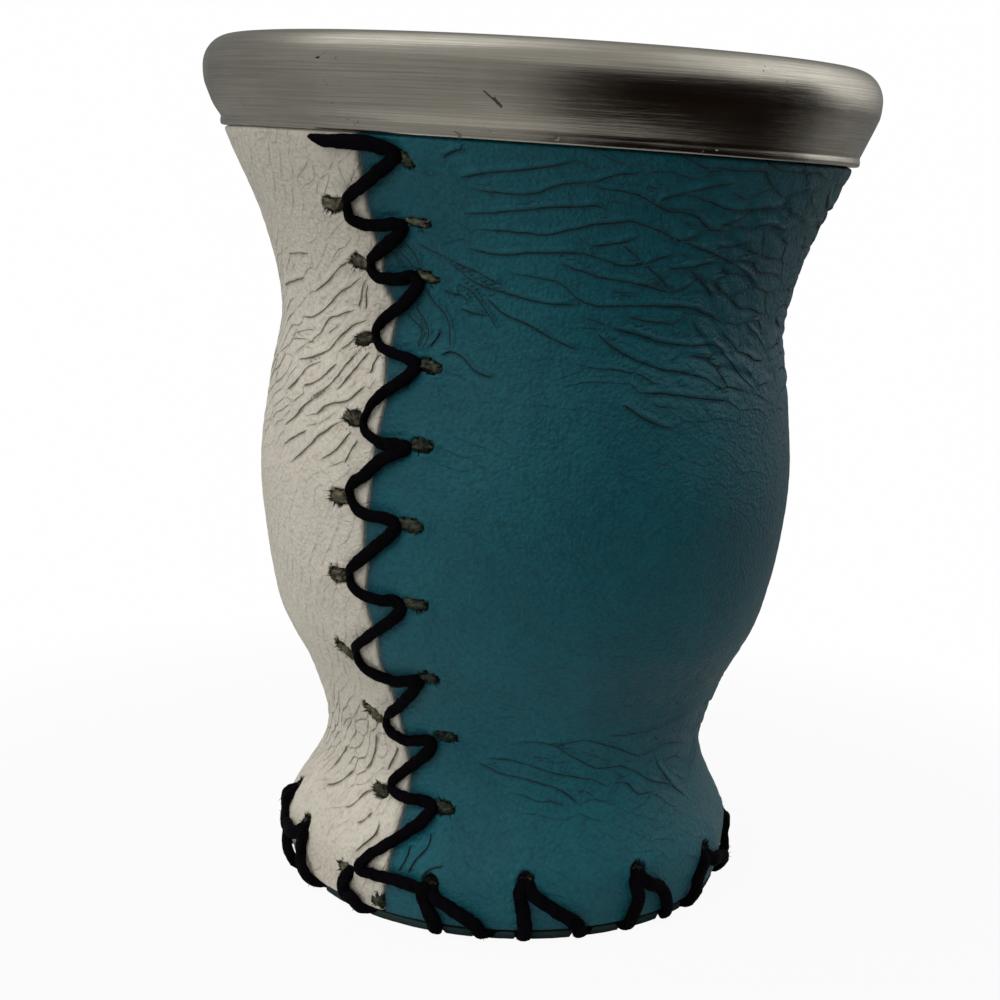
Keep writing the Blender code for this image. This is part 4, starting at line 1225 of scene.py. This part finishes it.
def tuftShape(angle, height, turned, halfLength, halfHeight, tilt, toneAndShade, teal, seed):
    # an ellipsoid set into the leather: u runs from pole to pole along its length and v round
    # it, with noise and ridges added to its size, and spikes of loose fibre at its outline
    rings, sides = tufts["rings"], tufts["sides"]
    u, v = np.meshgrid(np.linspace(0, np.pi, rings), np.arange(sides) * 2 * np.pi / sides, indexing="ij")
    out, up = (float(part) for part in jacketNormal(height))
    normal = around(angle, out, up)
    outward = around(angle + 90, 1.0, 0.0) * turned
    upward = around(angle, -up, out)
    tilt = np.radians(tilt)
    long = np.cos(tilt) * outward + np.sin(tilt) * upward
    short = -np.sin(tilt) * outward + np.cos(tilt) * upward
    x, y, z = np.cos(u), np.sin(u) * np.cos(v), np.sin(u) * np.sin(v)
    size = (0.96 + 0.36 * layeredNoise(1.7 * x + 5, 1.7 * y + 1.3 * z + 9, seed, 2)
            + 0.34 * layeredNoise(5 * x + 5, 5 * y + 4 * z + 9, seed + 2, 2) + 0.06 * np.cos(7 * v + 4 * x))
    centre = onJacket(angle, height, -tufts["under"])
    points = centre + size[..., None] * (halfLength * x[..., None] * long + halfHeight * y[..., None] * short
                                         + tufts["depth"] * z[..., None] * normal)
    spots = 2.4 * layeredNoise(4.5 * x + 3, 4.5 * y + 3 * z, seed + 5, 2)
    # painted shade: the fibre is darker on its lower side and at one end
    shade = toneAndShade * (1 - 0.8 * smoothStep(-0.25, -0.8, y)) * (1 - 0.6 * smoothStep(0.6, 0.95, x))
    shade = np.clip(shade + spots * 0.28, 0, 1)
    scatter = np.random.default_rng(seed)
    count = tufts["spikes"]
    swing = scatter.normal(0, 1.15, count)
    outline = np.cos(swing)[:, None] * halfLength * long + np.sin(swing)[:, None] * halfHeight * short
    roots = centre + 0.75 * outline + 0.25 * normal
    directions = outline / np.linalg.norm(outline, axis=1, keepdims=True)
    directions += scatter.normal(0, 0.25, (count, 3))
    lengths = 0.35 + 0.75 * scatter.random(count) ** 1.5
    extra = fibres(roots, directions + 0.25 * normal, lengths, 0.07 + 0.06 * scatter.random(count), seed)
    quads = np.vstack((gridQuads(rings, sides, ring=True), extra[1] + points[..., 0].size))
    spikeTones = np.repeat(toneAndShade * scatter.choice((0.0, 0.5, 1.0), count, p=(0.5, 0.25, 0.25)), 7)
    marks = np.concatenate((shade.reshape(-1), spikeTones))
    return (np.vstack((points.reshape(-1, 3), extra[0])), quads, extra[2] + points[..., 0].size, marks,
            np.full(len(marks), teal))


def makeTufts():
    shapes = []
    for back in (False, True):
        for n, (offset, height, *rest) in enumerate(lacing["slots"]):
            angle = jacket["frontSeam"] + (180 - offset if back else offset)
            turned = np.sign(offset) * (-1 if back else 1)
            shapes.append(tuftShape(angle, height, turned, *rest, 600 + n + 40 * back))
    for n, (offset, height, *rest) in enumerate(tufts["others"]):
        shapes.append(tuftShape(jacket["frontSeam"] + offset, height, 1, *rest, 700 + n))
    for n, (angle, height, _, _) in enumerate(baseLacing["stitches"]):
        shapes.append(tuftShape(angle, height + 0.75, 1, 0.85, 0.6, 0, tufts["holeTone"], 0.3, 720 + n))
    points, quads, triangles, tonesAndShade, teals = zip(*shapes)
    counts = np.cumsum([0] + [len(part) for part in points])
    quads, triangles = (np.vstack([part + first for part, first in zip(parts, counts)])
                        for parts in (quads, triangles))
    marks = {"toneAndShade": np.concatenate(tonesAndShade), "teal": np.concatenate(teals)}
    return makeMesh("slot_fibre", np.vstack(points), quads, triangles, marks, tidy=True)


blackLace = laceFinish()
for back, node in ((False, "seam_lace_front"), (True, "seam_lace_back")):
    dress(laceTube("laced_" + node, 17 + back, *seamLacePath(back)), blackLace, "waxed_lace", node)
dress(laceTube("laced_foot", 29, *baseLacePath()), blackLace, "waxed_lace", "base_lace")
dress(makeTufts(), tuftFinish(), None)
print("laces: two seams and the foot")


# Metal cup and rim, and the sole
def lathe(profile, columns, waver):
    # a closed or pole-to-pole profile turned round the axis, with the length along the profile
    # kept as a mark. The waver gives each point's extra distance outward and upward.
    radius, height = profile[:, 0][:, None], profile[:, 1][:, None]
    angle = np.arange(columns)[None, :] * 360 / columns
    along = np.concatenate(([0], np.cumsum(np.linalg.norm(np.diff(profile, axis=0), axis=1))))
    outward, upward = waver(angle, radius, height)
    points = around(angle, radius + outward, height + upward).reshape(-1, 3)
    marks = {"profile": np.repeat(along, columns)}
    return points, gridQuads(len(profile), columns, ring=True), marks


cup = {
    "insideLift": -(1.8 + 0.3 + 1.6),      # leather, gap and metal, inwards from the outline
    "outsideLift": -2.2,
    "floor": 14.0,
    "corner": 5,             # radius between floor and wall
    "underside": 2.0,
    "lip": ((37.7, 99.1), (37.9, 99.4), (38.6, 99.5), (39.1, 99.4), (39.25, 99.1)),
    "waver": 0.03,
    "columns": 144,
}


def cupProfile(height, lift):
    # the jacket's outline moved square to itself
    out, up = jacketNormal(height)
    return np.stack((jacketRadius(height) + lift * out, height + lift * up), -1)


def makeCup():
    # the floor with its rounded corner, the inner wall up to the lip, and the outside down to
    # the foot, as one profile turned round the axis
    floorHeight, size, underside, columns = cup["floor"], cup["corner"], cup["underside"], cup["columns"]
    wall = cupProfile(np.linspace(20, 93, 90), cup["insideLift"])
    floorRadius = wall[0, 0] - size
    turn = np.radians(np.linspace(-90, -12, 12))
    corner = np.stack((floorRadius + size * np.cos(turn), floorHeight + size + size * np.sin(turn)), -1)
    wall = wall[wall[:, 1] > corner[-1, 1] + 0.4]
    floor = np.stack((np.linspace(0.02, floorRadius - 0.5, 22), np.full(22, floorHeight)), -1)
    outside = cupProfile(np.linspace(93, 3.2, 70), cup["outsideLift"])
    edge = outside[-1, 0]
    foot = np.array(((edge - 0.3, underside + 0.05), (edge - 0.8, underside), (0.02, underside)))
    profile = np.vstack((floor, corner, wall, cup["lip"], outside, foot))

    def waver(angle, radius, height):
        return cup["waver"] * np.sin(np.radians(angle) * 3) * smoothStep(20, 60, height), 0.0 * angle

    points, quads, marks = lathe(profile, columns, waver)
    count = len(points)
    points = np.vstack((points, ((0, 0, floorHeight), (0, 0, underside))))
    ring = np.arange(columns)
    last = (len(profile) - 1) * columns
    caps = np.vstack((np.stack((np.full(columns, count), (ring + 1) % columns, ring), -1),
                      np.stack((np.full(columns, count + 1), last + ring, last + (ring + 1) % columns), -1)))
    marks["profile"] = np.append(marks["profile"], (0, 0))
    return makeMesh("cup_metal", points, quads, caps, marks, tidy=True)


rim = {
    # radii and heights of each stretch of the section
    "hem": ((38.98, 94.05), (39.08, 93.92), (39.28, 93.88), (39.46, 93.94), (39.57, 94.1),
            (39.61, 94.35), (39.60, 94.6), (39.56, 94.8), (39.57, 95.0)),
    "skirtTop": (41.6, 99.3),
    "skirtBelly": 0.10,
    "shoulder": ((41.72, 99.9), (41.79, 100.5)),
    "crest": 38.4,           # radius at its top
    "crestOutside": (3.42, 3.78, 101.2),       # half width, height and the height it starts from
    "crestInside": (1.4, 2.38, 102.6),
    "sleeve": ((36.95, 101.6), (36.85, 99.5), (36.75, 97.6), (36.95, 97.42), (37.3, 97.42),
               (37.45, 97.6), (37.5, 98.6), (37.55, 99.7), (37.9, 99.85), (39.3, 99.85),
               (39.75, 99.6), (39.5, 97.5), (38.6, 94.4)),
    "waver": 0.12,
    "hemWaver": 0.07,
    "columns": 288,
}


def makeRolledRim():
    # a skirt that flares up from the leather, a rounded crest, and a sleeve that turns down
    # inside the mouth and back up beneath
    crests = []
    for turns, (wide, high, base) in ((np.linspace(0, 90, 22), rim["crestOutside"]),
                                      (np.linspace(90, 180, 12)[1:], rim["crestInside"])):
        turns = np.radians(turns)
        crests.append(np.stack((rim["crest"] + wide * np.cos(turns), base + high * np.sin(turns)), -1))
    shares = np.linspace(0, 1, 15)[1:, None]
    skirt = (1 - shares) * np.array(rim["hem"][-1]) + shares * np.array(rim["skirtTop"])
    skirt[:, 0] += rim["skirtBelly"] * np.sin(np.pi * shares[:, 0])
    profile = np.vstack((rim["hem"], skirt, rim["shoulder"], *crests, rim["sleeve"], rim["hem"][:1]))

    def waver(angle, radius, height):
        # the sheet was rolled by hand, so it wavers a little, and the hem most
        u = 6 * np.cos(np.radians(angle)) + 0 * height
        v = 6 * np.sin(np.radians(angle)) + 0 * height
        outside = smoothStep(38.5, 39.3, radius)
        wave = layeredNoise(u * 0.7, v * 0.7 + height / 9, 71, 3)
        hemWave = layeredNoise(u * 3.1, v * 3.1, 77, 2) * smoothStep(95.5, 94.0, height)
        outward = np.minimum(rim["waver"] * wave, 0.0) * smoothStep(94.5, 99, height)
        outward = outward + rim["hemWaver"] * hemWave
        return outside * outward, edgeShift(angle) * smoothStep(97.3, 94.5, height)

    points, quads, marks = lathe(profile, rim["columns"], waver)
    return makeMesh("rolled_rim", points, quads, None, marks, tidy=True)


sole = {
    # each ring's radius and height, and how far the groove and a notch raise it
    "rings": ((0.0, 0.0, 0, 0), (8.0, 0.0, 0, 0), (16.0, 0.0, 0, 0), (22.0, 0.0, 0, 0),
              (25.3, 0.0, 0, 0), (25.6, 0.0, 0, 0), (25.72, 0.0, 1, 0), (26.5, 0.0, 1, 0),
              (27.3, 0.0, 1, 0), (27.36, 0.02, 0, 1), (27.5, 0.0, 0, 1), (27.62, 0.08, 0, 1),
              (27.7, 0.25, 0, 0.8), (27.68, 0.5, 0, 0.45), (27.7, 0.72, 0, 0.15),
              (27.62, 0.86, 0, 0), (27.4, 0.9, 0, 0), (25.0, 0.92, 0, 0), (16.0, 0.92, 0, 0),
              (8.0, 0.92, 0, 0), (0.0, 0.92, 0, 0)),
    "grooveTop": 0.86,
    "ragged": 0.07,
    "columns": 480,
}


def makeSole():
    # a disc with a groove beneath wherever the lace runs under the jacket, and a notch where
    # it comes out
    stitches = baseLacing["stitches"]
    spans = [(baseLacing["startUnder"], stitches[0][2])]
    spans += [(here[3], there[2]) for here, there in zip(stitches, stitches[1:])]
    spans.append((stitches[-1][3], stitches[-1][3] + 4))
    columns = sole["columns"]
    angle = np.arange(columns) * 360 / columns
    groove, notch = np.zeros(columns), np.zeros(columns)
    for start, end in spans:
        away = np.abs(turnBetween(angle, (start + end) / 2))
        groove = np.maximum(groove, smoothStep((end - start) / 2 + 3.2, (end - start) / 2 + 2.2, away))
        for mouth in (start + 1.2, end):
            away = np.abs(turnBetween(angle, mouth))
            notch = np.maximum(notch, smoothStep(1.9, 1.3, away))
    rings = np.array(sole["rings"])
    radius, height, inGroove, inNotch = (column[:, None] for column in rings.T)
    uneven = layeredNoise(angle / 2.4, 0 * angle, 41, 3)[None, :]
    outer = smoothStep(27.3, 27.6, radius)
    height = height + (sole["grooveTop"] - height) * np.maximum(inGroove * groove, inNotch * notch)
    points = around(angle[None, :], radius - outer * sole["ragged"] * (1 + uneven), height)
    marks = {"edge": np.repeat(smoothStep(0.55, 0.85, rings[:, 1]), columns)}
    return makeMesh("sole", points.reshape(-1, 3), gridQuads(len(rings), columns, ring=True), None,
                    marks, tidy=True)


dress(makeCup(), cupFinish(), "cup_aluminium", "cup")
dress(makeRolledRim(), rimFinish(), "rim_aluminium", "rim")
dress(makeSole(), soleFinish(), "sole_leather", "base_disc")
print("metal: cup and rolled rim, and the leather sole")


# Floor, light and camera
studio = {
    "background": 0.995,
    "fill": 0.28,
    "overhead": 0.12,
    "behind": -0.09,
    # soft windows that the rim mirrors: direction, where each starts and is full, and strength
    "windows": (((-0.36, 0.20, 0.91), 0.86, 0.99, 0.62), ((0.86, 0.30, 0.42), 0.66, 1.0, 0.70)),
    "darkSide": (0.006, 0.004, 0.003),
    "darkPaper": (0.008, 0.004, 0.002),
    "darkTowards": 52.0,     # degrees from the front, towards +X
    "lamp": {"place": (-0.44, -0.36, 0.42), "target": (0, 0, 0.05), "size": (1.50, 1.20), "power": 5.3,
             "colour": (1.0, 0.97, 0.92)},
    "paper": 0.70,
    "paperFar": 0.30,
}


def makeFloor():
    # rings of a wide disc of paper with one dark side, which the rim mirrors. The camera sees
    # it fade to plain white.
    columns, radii = 96, np.array((1, 40, 120, 300, 700, 1500, 3000.0))
    angle = np.arange(columns) * 360 / columns
    points = around(angle[None, :], radii[:, None], np.full((len(radii), 1), -0.02)).reshape(-1, 3)
    floor = makeMesh("floor", points, gridQuads(len(radii), columns, ring=True), None, None)
    finish = Finish("floor_paper")
    fromMiddle = finish.add("ShaderNodeVectorMath", {"operation": "LENGTH"}, {0: finish.place}, "Value")
    near = fromMiddle.between(0.13, 0.07)
    across, side, _ = finish.parts(finish.place)
    turn = np.radians(studio["darkTowards"])
    towards = (across * float(np.sin(turn)) - side * float(np.cos(turn))) / fromMiddle
    dark = towards.between(0.50, 0.76) * fromMiddle.between(0.075, 0.11)
    far = finish.blend(near, [studio["paperFar"]] * 3, [studio["paper"]] * 3)
    shade = finish.blend(dark, far, studio["darkPaper"])
    paper = finish.add("ShaderNodeBsdfDiffuse", {}, {"Color": shade})
    white = studio["background"]
    glow = finish.add("ShaderNodeEmission", {}, {"Color": (white, white, white, 1.0), "Strength": 1.0})
    toCamera = finish.add("ShaderNodeLightPath")
    mixed = finish.add("ShaderNodeMixShader", {}, {0: toCamera * (1 - near * 0.06), 1: paper, 2: glow})
    floor.data.materials.append(finish.close(mixed))


class Sky(Finish):
    def __init__(self):
        self.material = bpy.data.worlds.new("studio")
        bpy.context.scene.world = self.material
        self.material.use_nodes = True
        self.tree = self.material.node_tree
        self.tree.nodes.clear()
        self.place = self.add("ShaderNodeTexCoord", output="Generated")


def makeSky():
    # pale all round and brighter overhead, with one dark side in front and to the right that
    # the rim mirrors; the camera itself sees plain white
    sky = Sky()
    across, side, up = sky.parts(sky.place)
    turn = np.radians(studio["darkTowards"])
    towards = across * float(np.sin(turn)) - side * float(np.cos(turn))
    dark = towards.between(0.50, 0.74) * up.between(0.55, 0.20)
    glow = studio["fill"] + up.between(0.25, 0.9) * studio["overhead"]
    glow = glow + side.between(0.1, 0.9) * studio["behind"]
    for (x, y, z), start, end, strength in studio["windows"]:
        glow = glow + (across * x + side * y + up * z).between(start, end) * strength
    pale = sky.add("ShaderNodeVectorMath", {"operation": "SCALE"}, {0: (1.0, 0.985, 0.955), "Scale": glow})
    colour = sky.blend(dark, pale, studio["darkSide"])
    light = sky.add("ShaderNodeBackground", {}, {"Color": colour, "Strength": 1.0})
    plain = sky.add("ShaderNodeBackground", {}, {"Color": (1.0, 1.0, 1.0, 1.0),
                                                  "Strength": studio["background"]})
    seen = sky.add("ShaderNodeLightPath")
    mixed = sky.add("ShaderNodeMixShader", {}, {0: seen, 1: light, 2: plain})
    sky.close(mixed, "ShaderNodeOutputWorld")


def makeLamp(place, target, size, power, colour):
    data = bpy.data.lights.new("key", "AREA")
    data.shape = "RECTANGLE"
    data.size, data.size_y = size
    data.energy = power
    data.color = colour
    lamp = bpy.data.objects.new("key", data)
    away = Vector(place) - Vector(target)
    lamp.visible_glossy = False     # the metal mirrors the sky alone
    lamp.matrix_world = Matrix.Translation(place) @ away.to_track_quat("Z", "Y").to_matrix().to_4x4()
    bpy.context.scene.collection.objects.link(lamp)


cameraView = {
    "place": (0.0, -0.22898, 0.09373),
    "pitch": -11.03,
    "yaw": 2.43,
    "roll": 3.20,
    "lens": 64.33,
    "shift": -0.1,
}


def makeCamera():
    pitch, yaw, roll = np.radians([cameraView[key] for key in ("pitch", "yaw", "roll")])
    ahead = np.array((np.sin(yaw) * np.cos(pitch), np.cos(yaw) * np.cos(pitch), np.sin(pitch)))
    level = np.array((np.cos(yaw), -np.sin(yaw), 0))
    upright = np.cross(level, ahead)
    right = np.cos(roll) * level + np.sin(roll) * upright
    top = -np.sin(roll) * level + np.cos(roll) * upright
    data = bpy.data.cameras.new("camera")
    data.sensor_width = 36
    data.lens = cameraView["lens"]
    data.shift_x = cameraView["shift"]
    data.clip_start, data.clip_end = 0.01, 20
    camera = bpy.data.objects.new("camera", data)
    matrix = np.eye(4)
    matrix[:3, 0], matrix[:3, 1], matrix[:3, 2] = right, top, -ahead
    matrix[:3, 3] = cameraView["place"]
    camera.matrix_world = Matrix(matrix.tolist())
    bpy.context.scene.collection.objects.link(camera)
    bpy.context.scene.camera = camera


makeFloor()
makeSky()
makeLamp(**studio["lamp"])
makeCamera()
bpy.context.scene.view_settings.view_transform = "Standard"
print("studio: floor, sky, lamp and camera")
